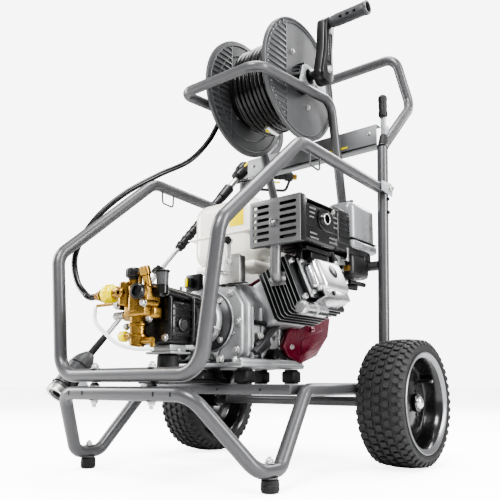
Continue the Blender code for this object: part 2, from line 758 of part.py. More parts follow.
def build_crank():
    """Crank arm fixed to the shaft's left end, and its turning grip."""
    outline = [(0.025 * math.cos(a), 0.025 * math.sin(a) - 0.012) for a in
               [math.radians(d) for d in range(160, 381, 20)]]
    outline += [(0.015, CRANK_LENGTH * 0.5), (0.018, CRANK_LENGTH)]
    outline += [(0.018 * math.cos(a), CRANK_LENGTH + 0.014 * math.sin(a)) for a in
                [math.radians(d) for d in (30, 60, 90, 120, 150)]]
    outline += [(-0.018, CRANK_LENGTH), (-0.015, CRANK_LENGTH * 0.5)]
    stand = Matrix(((0, 0, 1), (1, 0, 0), (0, 1, 0))).to_quaternion()
    lean = Quaternion(X, -CRANK_TILT)
    arm_at = (CRANK_X + 0.008 - CRANK_DEPTH / 2, REEL_Y, REEL_Z)
    arm = plate("crank_arm", outline, CRANK_DEPTH, arm_at, lean @ stand, "black_plastic")
    bore = cylinder("crank_bore", REEL_SHAFT_R + GAP, 2 * CRANK_DEPTH, arm_at, X, "black_plastic", 24)
    cut(arm, bore)
    tip = Vector((CRANK_X + 0.008 + GAP, REEL_Y + CRANK_LENGTH * math.sin(CRANK_TILT),
                  REEL_Z + CRANK_LENGTH * math.cos(CRANK_TILT)))
    profile = [(0.0, 0.108), (0.014, 0.108), (0.0175, 0.102), (0.0165, 0.060), (0.0150, 0.010),
               (0.011, 0.0), (0.0, 0.0)]
    turned_solid("crank_grip", profile, tip, X, "black_plastic", 24)


# ---------------------------------------------------------------- spray gun

def lance_point(along):
    """A point on the lance's axis, measured from the quiver's mouth end."""
    return LANCE_START + Vector((0, math.cos(LANCE_TILT), math.sin(LANCE_TILT))) * along


def build_gun():
    """Quiver, lance, gun body and trigger, stowed on the machine's right side."""
    direction = Vector((0, math.cos(LANCE_TILT), math.sin(LANCE_TILT)))
    mouth = 0.128
    bore = LANCE_R + 0.004
    quiver = [(bore, mouth), (0.013, mouth), (0.026, 0.100), (0.026, 0.0), (bore, 0.0)]
    turned("quiver", quiver, lance_point(0.0), direction, "grey_plastic", 24)
    start = 0.020
    end = 0.940
    cylinder("lance", LANCE_R, end - start, lance_point((start + end) / 2), direction, "bright_steel", 16)
    body_at = lance_point(end + GAP + 0.040)
    body = box("gun_body", (0.030, 0.080, 0.034), body_at, "black_plastic", 0.006, Quaternion(X, LANCE_TILT))
    grip_start = body_at + Vector((0.004, 0.010, 0.000))
    grip_way = Vector((0.110, 0.118, -0.004))
    middle = grip_start + grip_way / 2
    bar = cylinder("gun_grip", 0.0125, grip_way.length, middle, grip_way, "black_plastic", 16)
    join(body, bar)
    lever_at = grip_start + grip_way * 0.55 - Z * 0.022
    sideways = Matrix((grip_way.normalized(), grip_way.cross(Z).normalized(), Z)).transposed().to_quaternion()
    box("trigger", (0.060, 0.010, 0.006), lever_at, "yellow", 0.002, sideways)


clear_scene()
WASHER = new_collection("pressure_washer")
CUTTERS = new_collection("cutters")

build_base_tube()
build_cage_tube()
build_handle_tube()
build_reel_hoop()
build_cross_rails()
build_crossbar()
build_feet()
build_bumper_spacers()
build_rear_panel()
build_hose_hook()
build_engine_mounts()
build_axle()
build_wheels()
build_crankcase()
build_crankshaft()
build_cylinder()
build_exhaust()
build_carburettor()
build_air_cleaner()
build_fuel_tank()
build_fan_cover()
build_controls()
coupling_tip = build_pump()
build_pump_bracket()
build_bleed_tube()
build_link_hose(coupling_tip)
build_reel()
build_reel_plates()
build_crank()
build_gun()
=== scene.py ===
"""Petrol pressure washer on a tubular trolley, shown over its CAD frame.

X = 0 is the machine's middle plane, +X its left side, -Y its front, and the floor is at Z = 0.
Pieces are modelled in millimetres and scaled to metres when they are assembled. The camera,
the lights and the floor are placed in metres. Each piece rides on one CAD body and stands for
that body's nodes.
"""
import math

import bmesh
import bpy
from mathutils import Matrix, Quaternion, Vector


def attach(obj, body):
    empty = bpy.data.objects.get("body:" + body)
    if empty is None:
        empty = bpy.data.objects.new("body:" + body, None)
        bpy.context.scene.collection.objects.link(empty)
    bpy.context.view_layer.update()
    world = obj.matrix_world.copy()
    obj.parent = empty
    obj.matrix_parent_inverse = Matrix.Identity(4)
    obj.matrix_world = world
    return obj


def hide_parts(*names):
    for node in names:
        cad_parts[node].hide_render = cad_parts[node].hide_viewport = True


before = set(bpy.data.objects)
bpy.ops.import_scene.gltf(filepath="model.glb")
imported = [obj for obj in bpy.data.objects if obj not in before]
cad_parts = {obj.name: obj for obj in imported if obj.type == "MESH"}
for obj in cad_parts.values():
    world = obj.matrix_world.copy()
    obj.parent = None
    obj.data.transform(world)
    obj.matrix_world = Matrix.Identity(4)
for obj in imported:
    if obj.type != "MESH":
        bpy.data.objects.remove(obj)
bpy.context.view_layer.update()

X = Vector((1.0, 0.0, 0.0))
Y = Vector((0.0, 1.0, 0.0))
Z = Vector((0.0, 0.0, 1.0))

# The machine's own sizes and places are in millimetres
MM = 0.001
TUBE_R = 14
HOOP_R = 12.5
BUMPER_Y = -430
BUMPER_Z = 175.6
RAIL_HALF = 240
LEG_HALF = 264.5
FOOT_Y = -302
DECK_Z = 182
POST_Y = 212
POST_LEAN = 0.048
KINK_Z = 824
KINK_Y = POST_Y + POST_LEAN * (KINK_Z - DECK_Z)
KNEE_Y = 436.5
KNEE_Z = 1010
HANDLE_Z = 1158
FOOT_TOP = 38.5
BOW_Z = 211.3
CROSSBAR_Z = 500
CROSSBAR_Y = POST_Y + POST_LEAN * (CROSSBAR_Z - DECK_Z)
AXLE_Y = 168
TYRE_R = 150
WHEEL_X = 314
CRANK_Z = 335
ENGINE_FRONT_Y = -175
CYLINDER_TILT = math.radians(23.0)
CYLINDER_Y = -40
REEL_Y = 67
REEL_Z = 993
REEL_HALF = 92.2
LANCE_X = -292
LANCE_TILT = math.radians(46.8)
LANCE_START = Vector((LANCE_X, -376, 170))
LANCE_WAY = Vector((0.0, math.cos(LANCE_TILT), math.sin(LANCE_TILT)))

# ---------------------------------------------------------------- finishes


def node(tree, kind, **values):
    """Add a node and set its inputs by name."""
    made = tree.nodes.new(kind)
    for key, value in values.items():
        made.inputs[key].default_value = value
    return made


def finish(name, colour, roughness, metallic=0.0, wear=0.12, grain=18.0, bump=0.10,
           fine=420.0, coat=0.0):
    """A Principled material whose colour, roughness and surface vary with noise."""
    made = bpy.data.materials.new(name + "_finish")
    made.use_nodes = True
    tree = made.node_tree
    link = tree.links.new
    shader = tree.nodes["Principled BSDF"]
    where = node(tree, "ShaderNodeTexCoord")
    broad = node(tree, "ShaderNodeTexNoise", Scale=grain, Detail=5.0, Roughness=0.6)
    small = node(tree, "ShaderNodeTexNoise", Scale=fine, Detail=3.0, Roughness=0.55)
    link(where.outputs["Object"], broad.inputs["Vector"])
    link(where.outputs["Object"], small.inputs["Vector"])
    tint = node(tree, "ShaderNodeMix")
    tint.data_type = "RGBA"
    tint.inputs[6].default_value = (*[c * (1.0 - wear) for c in colour], 1.0)
    tint.inputs[7].default_value = (*[min(1.0, c * (1.0 + wear)) for c in colour], 1.0)
    link(broad.outputs["Fac"], tint.inputs[0])
    link(tint.outputs[2], shader.inputs["Base Color"])
    spread = node(tree, "ShaderNodeMapRange")
    spread.inputs["From Min"].default_value = 0.3
    spread.inputs["From Max"].default_value = 0.7
    spread.inputs["To Min"].default_value = max(0.03, roughness - 0.06)
    spread.inputs["To Max"].default_value = min(1.0, roughness + 0.09)
    link(broad.outputs["Fac"], spread.inputs["Value"])
    link(spread.outputs["Result"], shader.inputs["Roughness"])
    relief = node(tree, "ShaderNodeBump", Strength=bump, Distance=0.0006)
    link(small.outputs["Fac"], relief.inputs["Height"])
    link(relief.outputs["Normal"], shader.inputs["Normal"])
    shader.inputs["Metallic"].default_value = metallic
    shader.inputs["Coat Weight"].default_value = coat
    shader.inputs["Coat Roughness"].default_value = 0.12
    return made


PAINT = finish("paint", (0.078, 0.078, 0.081), 0.36, 0.30, 0.03, 6.0, 0.006, 220.0, 0.20)
PANEL = finish("panel", (0.36, 0.37, 0.38), 0.40, 0.35, 0.05, 12.0, 0.03, 300.0)
DARK_PANEL = finish("dark_panel", (0.17, 0.173, 0.176), 0.40, 0.35, 0.05, 12.0, 0.03, 300.0)
RUBBER = finish("rubber", (0.009, 0.009, 0.009), 0.55, 0.0, 0.20, 30.0, 0.20, 500.0)
TYRE = finish("tyre", (0.020, 0.020, 0.020), 0.62, 0.0, 0.30, 26.0, 0.30, 380.0)
RIM = finish("rim", (0.009, 0.009, 0.009), 0.22, 0.0, 0.10, 10.0, 0.04, 500.0, 0.5)
BEAD = finish("rim_edge", (0.22, 0.22, 0.23), 0.30, 0.8, 0.10, 16.0, 0.05, 500.0)
CAST = finish("cast", (0.37, 0.375, 0.38), 0.40, 0.85, 0.26, 26.0, 0.45, 300.0)
DARK_CAST = finish("dark_cast", (0.060, 0.060, 0.062), 0.36, 0.70, 0.30, 30.0, 0.40, 320.0)
BLACK = finish("black", (0.008, 0.008, 0.008), 0.28, 0.15, 0.20, 24.0, 0.15, 420.0, 0.15)
STEEL = finish("steel", (0.55, 0.55, 0.56), 0.27, 1.0, 0.05, 6.0, 0.006, 240.0)
ZINC = finish("zinc", (0.55, 0.55, 0.54), 0.33, 1.0, 0.12, 60.0, 0.10, 700.0)
BRASS = finish("brass", (0.31, 0.190, 0.058), 0.27, 1.0, 0.45, 45.0, 0.40, 380.0)
YELLOW = finish("yellow", (0.76, 0.62, 0.0), 0.34, 0.0, 0.06, 20.0, 0.05, 500.0)
MAROON = finish("maroon", (0.100, 0.003, 0.016), 0.26, 0.1, 0.10, 18.0, 0.05, 500.0, 0.4)
WHITE = finish("white", (0.78, 0.755, 0.69), 0.30, 0.0, 0.03, 8.0, 0.04, 500.0, 0.4)
PLASTIC = finish("plastic", (0.009, 0.009, 0.0095), 0.36, 0.0, 0.15, 30.0, 0.25, 600.0)
GREY = finish("grey", (0.062, 0.063, 0.065), 0.36, 0.0, 0.08, 14.0, 0.15, 600.0)
LIGHT = finish("light", (0.24, 0.245, 0.25), 0.28, 0.35, 0.05, 10.0, 0.05, 500.0, 0.2)
HOSE = finish("hose", (0.004, 0.004, 0.004), 0.22, 0.0, 0.05, 12.0, 0.02, 300.0)
CLEAR = finish("clear", (0.86, 0.88, 0.89), 0.18, 0.0, 0.03, 40.0, 0.04, 500.0)
CLEAR.node_tree.nodes["Principled BSDF"].inputs["Transmission Weight"].default_value = 0.25

# ---------------------------------------------------------------- helpers


def turn_to(direction):
    """Rotation that takes +Z to a direction."""
    return Z.rotation_difference(Vector(direction).normalized())


# Edges that turn more than this are drawn sharp
SHARP_ANGLE = math.radians(38.0)
# Parts made since the last piece was assembled
LOOSE = []


def link_up(data, material, at=(0, 0, 0), rotation=None):
    """Put new data in the scene as a loose part with one material."""
    item = bpy.data.objects.new("part", data)
    bpy.context.scene.collection.objects.link(item)
    item.data.materials.append(material)
    item.location = at
    if rotation is not None:
        item.rotation_mode = "QUATERNION"
        item.rotation_quaternion = rotation
    LOOSE.append(item)
    return item


def from_bm(bm, material, at=(0, 0, 0), rotation=None):
    """Turn a bmesh into a placed part."""
    mesh = bpy.data.meshes.new("part")
    bm.to_mesh(mesh)
    bm.free()
    return link_up(mesh, material, at, rotation)


def box(size, at, material, bevel=1.5, rotation=None, segments=2):
    """A box with rounded edges, given by its size and centre."""
    bm = bmesh.new()
    bmesh.ops.create_cube(bm, size=1.0)
    bmesh.ops.scale(bm, vec=size, verts=bm.verts)
    if bevel > 0.0:
        width = min(bevel, min(size) * 0.49)
        bmesh.ops.bevel(bm, geom=bm.edges[:], offset=width, segments=segments, profile=0.5, affect="EDGES")
    return from_bm(bm, material, at, rotation)


def lathe(profile, at, direction, material, steps=48, closed=False):
    """A (radius, height) outline turned about an axis."""
    bm = bmesh.new()
    count = len(profile)
    rings = []
    for radius, height in profile:
        if radius < 0.01:
            rings.append([bm.verts.new((0.0, 0.0, height))])
        else:
            rings.append([bm.verts.new((radius * math.cos(math.tau * i / steps),
                                        radius * math.sin(math.tau * i / steps), height))
                          for i in range(steps)])
    pairs = [(i, i + 1) for i in range(count - 1)]
    if closed:
        pairs.append((count - 1, 0))
    for a, b in pairs:
        low, high = rings[a], rings[b]
        for i in range(steps):
            j = (i + 1) % steps
            corners = []
            for vert in (low[i % len(low)], low[j % len(low)], high[j % len(high)], high[i % len(high)]):
                if vert not in corners:
                    corners.append(vert)
            if len(corners) > 2:
                bm.faces.new(corners)
    bmesh.ops.recalc_face_normals(bm, faces=bm.faces)
    return from_bm(bm, material, at, turn_to(direction))


def rod(start, end, radius, material, top=None, edge=0.8, steps=32):
    """A cylinder or cone between two points, with a small chamfer."""
    start = Vector(start)
    way = Vector(end) - start
    top = radius if top is None else top
    edge = min(edge, radius * 0.4, top * 0.4, way.length * 0.3)
    profile = [(0.0, 0.0), (radius - edge, 0.0), (radius, edge), (top, way.length - edge),
               (top - edge, way.length), (0.0, way.length)]
    return lathe(profile, start, way, material, steps)


def hexagon(at, direction, across, height, material, bore=0.0):
    """A hexagon head or nut standing on a point, with its washer and thread end."""
    direction = Vector(direction).normalized()
    at = Vector(at)
    bm = bmesh.new()
    bmesh.ops.create_cone(bm, cap_ends=True, segments=6, radius1=across / 2, radius2=across / 2, depth=height)
    bmesh.ops.bevel(bm, geom=bm.edges[:], offset=across * 0.04, segments=1, affect="EDGES")
    from_bm(bm, material, at + direction * (height / 2 + across * 0.10), turn_to(direction))
    rod(at, at + direction * across * 0.10, across * 0.62, material, edge=0.3)
    if bore > 0.0:
        top = at + direction * (height + across * 0.10)
        rod(top - direction, top + direction * bore, across * 0.26, material, edge=0.4, steps=20)


def cap_screw(at, direction, radius, height, material):
    """A socket-head screw with its hexagon hole, standing on a point."""
    hole = radius * 0.5
    profile = [(0.0, height * 0.45), (hole, height * 0.45), (hole, height), (radius * 0.88, height),
               (radius, height * 0.88), (radius, 0.0), (0.0, 0.0)]
    return lathe(profile, at, direction, material, 18)


def rounded(points, radii, step_angle=5.0):
    """A polyline whose inner corners are arcs of the given radii."""
    path = [Vector(points[0])]
    for before, corner, after, radius in zip(points, points[1:], points[2:], radii):
        corner = Vector(corner)
        back = (Vector(before) - corner).normalized()
        ahead = (Vector(after) - corner).normalized()
        half = back.angle(ahead) / 2
        reach = radius / math.tan(half)
        centre = corner + (back + ahead).normalized() * (radius / math.sin(half))
        start = corner + back * reach - centre
        sweep = math.pi - 2 * half
        count = max(2, round(math.degrees(sweep) / step_angle))
        axis = back.cross(ahead).normalized()
        for i in range(count + 1):
            path.append(centre + Quaternion(axis, -sweep * i / count) @ start)
    path.append(Vector(points[-1]))
    return path


def smooth_route(points, spacing):
    """Points at an even spacing on a smooth curve through a route's own points."""
    pts = [Vector(p) for p in points]
    pts = [2 * pts[0] - pts[1]] + pts + [2 * pts[-1] - pts[-2]]
    fine = []
    for a, b, c, d in zip(pts, pts[1:], pts[2:], pts[3:]):
        for i in range(24):
            t = i / 24
            fine.append(0.5 * (2 * b + (c - a) * t + (2 * a - 5 * b + 4 * c - d) * t * t
                               + (3 * b - a - 3 * c + d) * t ** 3))
    fine.append(pts[-2])
    lengths = [(q - p).length for p, q in zip(fine, fine[1:])]
    count = max(2, round(sum(lengths) / spacing))
    pace = sum(lengths) / count
    route = [fine[0]]
    gone = 0.0
    for p, q, length in zip(fine, fine[1:], lengths):
        while len(route) < count and gone + length >= pace * len(route):
            route.append(p.lerp(q, (pace * len(route) - gone) / length))
        gone += length
    route.append(fine[-1])
    return route


def pipe(path, radius, material, sides=7, cyclic=False):
    """A round bar along a path."""
    curve = bpy.data.curves.new("part", "CURVE")
    curve.dimensions = "3D"
    spline = curve.splines.new("POLY")
    spline.points.add(len(path) - 1)
    for point, where in zip(spline.points, path):
        point.co = (*where, 1.0)
    spline.use_cyclic_u = cyclic
    curve.bevel_depth = radius
    curve.bevel_resolution = sides
    curve.use_fill_caps = not cyclic
    return link_up(curve, material)


def plate(outline, thickness, at, rotation, material, bevel=0.8):
    """A flat piece with the given outline, in its own XY plane."""
    bm = bmesh.new()
    low = [bm.verts.new((x, y, -thickness / 2)) for x, y in outline]
    high = [bm.verts.new((x, y, thickness / 2)) for x, y in outline]
    bm.faces.new(low[::-1])
    bm.faces.new(high)
    for i in range(len(outline)):
        j = (i + 1) % len(outline)
        bm.faces.new((low[i], low[j], high[j], high[i]))
    bmesh.ops.recalc_face_normals(bm, faces=bm.faces)
    if bevel > 0.0:
        rims = [e for e in bm.edges if abs(e.verts[0].co.z - e.verts[1].co.z) < 1e-6]
        bmesh.ops.bevel(bm, geom=rims, offset=bevel, segments=2, profile=0.5, affect="EDGES")
    return from_bm(bm, material, at, rotation)


def prism(outline, x_low, x_high, material, bevel=2.0):
    """A piece with a (y, z) outline, drawn out along X between two places."""
    stand = Matrix(((0, 0, 1), (1, 0, 0), (0, 1, 0))).to_quaternion()
    return plate(outline, x_high - x_low, ((x_low + x_high) / 2, 0, 0), stand, material, bevel)


def cut(item, *others):
    """Remove other parts' shapes from a part, at once."""
    for other in others:
        step = item.modifiers.new("cut", "BOOLEAN")
        step.object = other
        step.solver = "EXACT"
    bpy.context.view_layer.update()
    graph = bpy.context.evaluated_depsgraph_get()
    mesh = bpy.data.meshes.new_from_object(item.evaluated_get(graph))
    item.modifiers.clear()
    item.data = mesh
    for other in others:
        LOOSE.remove(other)
        bpy.data.objects.remove(other, do_unlink=True)
    return item


def assemble(title, kind, body="frame", node=None):
    """Merge the loose parts into one piece per material, on a body.

    The first piece stands for the CAD node that has the title as its name, or for another
    node if one is named, or for none if the node's name is empty.
    """
    bpy.context.view_layer.update()
    graph = bpy.context.evaluated_depsgraph_get()
    groups = {}
    for part in LOOSE:
        groups.setdefault(part.data.materials[0].name, []).append(part)
    for finish_name, members in groups.items():
        bm = bmesh.new()
        for part in members:
            mesh = bpy.data.meshes.new_from_object(part.evaluated_get(graph))
            mesh.transform(Matrix.Scale(MM, 4) @ part.matrix_world)
            bm.from_mesh(mesh)
            bpy.data.meshes.remove(mesh)
        mesh = bpy.data.meshes.new(title)
        bm.to_mesh(mesh)
        bm.free()
        mesh.materials.clear()
        mesh.materials.append(bpy.data.materials[finish_name])
        mesh.polygons.foreach_set("use_smooth", [True] * len(mesh.polygons))
        mesh.set_sharp_from_angle(angle=SHARP_ANGLE)
        piece = bpy.data.objects.new("%s_%s.%s" % (title, kind, finish_name), mesh)
        bpy.context.scene.collection.objects.link(piece)
        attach(piece, body)
    for part in LOOSE:
        bpy.data.objects.remove(part, do_unlink=True)
    LOOSE.clear()
    if node != "":
        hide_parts(node or title)


def facing(offset, axis):
    """Turn about X or Y that stands a part up along an offset from that axis."""
    if axis is X:
        return Quaternion(X, math.atan2(offset.z, offset.y) + math.pi / 2)
    return Quaternion(Y, math.atan2(offset.x, offset.z))


def mirrored(points):
    """The points followed by their mirror images in X = 0, in reverse."""
    near = [Vector(p) for p in points]
    return near + [Vector((-p.x, p.y, p.z)) for p in reversed(near)]


def around(centre, radius, count, normal, start=0.0):
    """Points evenly spaced on a circle."""
    turn = turn_to(normal)
    return [Vector(centre) + turn @ Vector((radius * math.cos(start + math.tau * i / count),
                                            radius * math.sin(start + math.tau * i / count), 0.0))
            for i in range(count)]


# ---------------------------------------------------------------- camera, light and floor

camera_data = bpy.data.cameras.new("camera")
camera_data.sensor_width = 36.0
camera_data.lens = 44.21
camera_data.shift_y = 0.0933
camera_data.clip_end = 50.0
camera = bpy.data.objects.new("camera", camera_data)
bpy.context.scene.collection.objects.link(camera)
camera.location = (0.94841, -1.21654, 0.19595)
camera.rotation_euler = (math.radians(98.0), 0.0, math.radians(38.60))
bpy.context.scene.camera = camera


def light(name, at, aim, size, power, tall=None):
    """A soft rectangular light aimed at a point."""
    data = bpy.data.lights.new(name, "AREA")
    data.shape = "RECTANGLE"
    data.size = size
    data.size_y = tall or size
    data.energy = power
    lamp = bpy.data.objects.new(name, data)
    bpy.context.scene.collection.objects.link(lamp)
    lamp.location = at
    lamp.rotation_mode = "QUATERNION"
    lamp.rotation_quaternion = (Vector(aim) - Vector(at)).to_track_quat("-Z", "Y")


light("key", (0.9, -2.4, 3.0), (0.0, 0.0, 0.5), 1.3, 130.0)
light("top", (0.0, 0.2, 3.4), (0.0, 0.0, 0.4), 1.6, 70.0)
light("left_strip", (-2.8, -1.2, 1.6), (0.0, 0.0, 0.5), 0.7, 80.0, 2.6)
light("right_strip", (2.8, 0.4, 1.5), (0.0, 0.0, 0.5), 0.7, 90.0, 2.4)
light("back", (0.3, 2.6, 2.6), (0.0, 0.0, 0.6), 1.6, 60.0)


def seen_or_lit(tree, seen, lit):
    """A strength that is one value to the camera and another to the rest of the scene."""
    rays = node(tree, "ShaderNodeLightPath")
    choose = node(tree, "ShaderNodeMapRange")
    choose.inputs["To Min"].default_value = lit
    choose.inputs["To Max"].default_value = seen
    tree.links.new(rays.outputs["Is Camera Ray"], choose.inputs["Value"])
    return choose.outputs["Result"]


SKY_SEEN = 2.6
SKY_LIGHT = 0.55
FLOOR_GLOW = 1.9

world = bpy.data.worlds.new("studio")
world.use_nodes = True
world.node_tree.nodes["Background"].inputs["Color"].default_value = (1.0, 1.0, 1.0, 1.0)
world.node_tree.links.new(seen_or_lit(world.node_tree, SKY_SEEN, SKY_LIGHT),
                          world.node_tree.nodes["Background"].inputs["Strength"])
bpy.context.scene.world = world
# Deep blacks on a white ground
bpy.context.scene.view_settings.look = "AgX - High Contrast"

floor_bm = bmesh.new()
bmesh.ops.create_grid(floor_bm, x_segments=1, y_segments=1, size=30.0)
FLOOR = finish("floor", (0.92, 0.92, 0.92), 0.75, 0.0, 0.01, 2.0, 0.0)
floor_shader = FLOOR.node_tree.nodes["Principled BSDF"]
floor_shader.inputs["Emission Color"].default_value = (1.0, 1.0, 1.0, 1.0)
floor_glow = seen_or_lit(FLOOR.node_tree, FLOOR_GLOW, 0.0)
FLOOR.node_tree.links.new(floor_glow, floor_shader.inputs["Emission Strength"])
floor = from_bm(floor_bm, FLOOR, (0, 0, -0.0005))
floor.name = "floor"
LOOSE.remove(floor)

# ---------------------------------------------------------------- free hoses

link_route = smooth_route([
    (-126.7, 67, 993),
    (-134.7, 67, 993),
    (-146.7, 65, 989),
    (-172, 53, 955),
    (-186, 17, 880),
    (-214, -33, 812),
    (-252, -113, 757),
    (-276, -213, 682),
    (-276, -303, 592),
    (-262, -361, 500),
    (-228, -379, 430),
    (-184, -386, 392),
    (-154.3, -394.4, 381),
    (-142.3, -394.4, 381),
    (-132.6, -394.4, 381),
], 8)
bleed_route = smooth_route([
    (-105, -418, 352),
    (-88, -430, 322),
    (-50, -435, 296),
    (-8, -435, 272),
    (30, -424, 262),
    (50, -394, 262),
], 5)


def free_hose(name, route_mm, radius, material, node_name):
    """A hose with both its ends on the machine.

    The route is in millimetres and the radius in metres.
    """
    route = [point * MM for point in route_mm]
    item = pipe(route, radius, material, 7)
    LOOSE.remove(item)
    item.name = name
    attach(item, "frame")
    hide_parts(node_name)


free_hose("link_hose_run", link_route, 0.007, HOSE, "link_hose")
free_hose("bleed_tube_run", bleed_route, 0.004, CLEAR, "bleed_tube")

# ---------------------------------------------------------------- tube frame

base_path = rounded(mirrored([
    (RAIL_HALF, KINK_Y, KINK_Z),
    (RAIL_HALF, POST_Y, DECK_Z),
    (RAIL_HALF + 4, FOOT_Y + 152, DECK_Z),
    (LEG_HALF, FOOT_Y + 30, FOOT_TOP),
    (LEG_HALF, FOOT_Y - 36, FOOT_TOP),
    (185, BUMPER_Y, BUMPER_Z),
]), [60, 35, 30, 45, 50, 50, 45, 30, 35, 60])
pipe(base_path, TUBE_R, PAINT)
for side in (1, -1):
    # Small drain slots in the bumper, drawn as black patches of painted shade, and the collar plates over the
    # feet
    for off in (105, 150):
        box((3.5, 1.5, 7.5), (side * off, BUMPER_Y - TUBE_R + 0.5, BUMPER_Z), BLACK, 0)
    rod((side * LEG_HALF, FOOT_Y, 24.5), (side * LEG_HALF, FOOT_Y, 28), 15, PAINT)
    # Post fittings: pads and screws in black, as on the rear posts
    for height in (640, 676):
        rod((side * (RAIL_HALF + TUBE_R - 2), CROSSBAR_Y + 8, height),
            (side * (RAIL_HALF + TUBE_R + 4), CROSSBAR_Y + 8, height), 4.5, BLACK)
    # Welded saddle that holds the axle under the side rail
    box((6, 40, 34), (side * (RAIL_HALF - 10), AXLE_Y, DECK_Z - 20), PAINT, 1)
assemble("base_tube", "bent")

arm_z = 705
arm_end_y = POST_Y + POST_LEAN * (arm_z - DECK_Z) - TUBE_R - 6
cage_path = rounded(mirrored([
    (RAIL_HALF, arm_end_y, arm_z),
    (233, -145, 719.5),
    (243.2, BUMPER_Y + 10, 481),
    (205, BUMPER_Y + 4, BOW_Z),
]), [60, 50, 55, 55, 50, 60])
pipe(cage_path, TUBE_R, PAINT)
for side in (1, -1):
    # Wire lashing eye under each upper arm
    eye = rounded([
        (side * 236, -112, 706), (side * 236, -110, 676), (side * 236, -72, 672),
        (side * 236, -70, 704),
    ], [7, 7], 12.0)
    pipe(eye, 2.2, PAINT, 3)
    # Flattened end plate bolted to the rear post
    lug = [(-14, -13), (44, -18), (49, 0), (44, 18), (-14, 13)]
    stand = Matrix(((0, 0, 1), (1, 0, 0), (0, 1, 0))).to_quaternion()
    plate([(y - 10, z) for y, z in lug], 3,
          (side * (RAIL_HALF + TUBE_R + 1.6), arm_end_y + 6, arm_z), stand, PANEL)
    hexagon((side * (RAIL_HALF + TUBE_R + 3), arm_end_y + 26, arm_z), (side, 0, 0),
            16, 6, ZINC, 3)
    # Bolts through the two bumper bows
    for level, way, long in ((BOW_Z + TUBE_R - 0.5, Z, 4), (BUMPER_Z - TUBE_R + 0.5, -Z, 7)):
        hexagon((side * 85, BUMPER_Y + 2, level), way, 15, 6, ZINC, long)
    hexagon((side * (LEG_HALF - 1), FOOT_Y, FOOT_TOP + TUBE_R - 0.5), Z, 15, 6, ZINC, 4)
assemble("cage_tube", "bent")

handle_start = Vector((RAIL_HALF, KINK_Y, KINK_Z))
handle_knee = Vector((RAIL_HALF, KNEE_Y, KNEE_Z))
handle_start += (handle_knee - handle_start).normalized() * 4
handle_path = rounded(mirrored([handle_start, handle_knee, (215, KNEE_Y - 40, HANDLE_Z)]),
                      [50, 40, 40, 50])
pipe(handle_path, TUBE_R, PAINT)
weld_way = (handle_knee - handle_start).normalized()
for side in (1, -1):
    ring = around((side * RAIL_HALF, KINK_Y + 1, KINK_Z + 1), TUBE_R, 40, weld_way + Z)
    pipe(ring, 1.8, PAINT, 2, True)
assemble("handle_tube", "bent")

hoop_path = rounded(mirrored([
    (108, CROSSBAR_Y, CROSSBAR_Z + HOOP_R - 1),
    (111, CROSSBAR_Y + 18, 700),
    (128, 167, 960),
    (122, -155, 935),
]), [60, 45, 35, 35, 45, 60])
pipe(hoop_path, HOOP_R, PAINT)
assemble("reel_hoop", "bent")

rail_width = 2 * (RAIL_HALF - TUBE_R + 1)
for title, where in (("front_cross_rail", -158), ("middle_cross_rail", 22)):
    box((rail_width, 50, 22), (0, where, DECK_Z), PAINT, 3, None, 3)
    for x in (-130, 30, 150):
        rod((x, where - 24.5, DECK_Z), (x, where - 25.6, DECK_Z), 2.8, BLACK, edge=0.1, steps=16)
    assemble(title, "box")
crossbar_end = RAIL_HALF - TUBE_R + 2
crossbar_path = mirrored([(-crossbar_end, CROSSBAR_Y, CROSSBAR_Z)])
pipe(crossbar_path, HOOP_R, PAINT)
assemble("rear_crossbar", "round")
rod((-343, AXLE_Y, TYRE_R), (343, AXLE_Y, TYRE_R), 12, PAINT)
assemble("axle", "round")

for side, title in ((1, "left"), (-1, "right")):
    at = (side * LEG_HALF, FOOT_Y, 0)
    lathe([(0, 24), (14.5, 24), (16.5, 22.5), (17.2, 6), (15.5, 1),
           (13, 0), (0, 0)], at, Z, RUBBER, 40)
    lathe([(16.8, 12), (17.6, 13.5), (16.8, 15)], at, Z, RUBBER, 40)
    assemble("foot_" + title, "rubber")
    spot = Vector((side * 85, BUMPER_Y + 2, 189.8))
    lathe([(0, 0), (9.5, 0), (10.5, 1.2), (6, 7), (5.5, 7.3), (0, 7.3)],
          spot, Z, RUBBER, 32)
    assemble("bumper_spacer_" + title, "cone")

# Folded channel between the posts, with its lower lip and a plain coloured line
panel_half = RAIL_HALF - TUBE_R - 1.5
panel_y = KINK_Y + 12
box((2 * panel_half, 3, 62), (0, panel_y - 12.5, 863), DARK_PANEL, 1)
box((2 * panel_half, 26, 3), (0, panel_y, 893.5), DARK_PANEL, 1)
box((2 * panel_half, 26, 3), (0, panel_y, 833), DARK_PANEL, 1)
box((110, 1.2, 5), (80, panel_y - 14.3, 850), YELLOW, 0.4)
box((2 * panel_half - 4, 1.2, 4), (0, panel_y - 14.3, 838), BLACK, 0.4)
for side in (1, -1):
    cap_screw((side * (panel_half - 22), panel_y - 13.8, 872), -Y, 4.5, 3, ZINC)
assemble("rear_cross_panel", "folded")

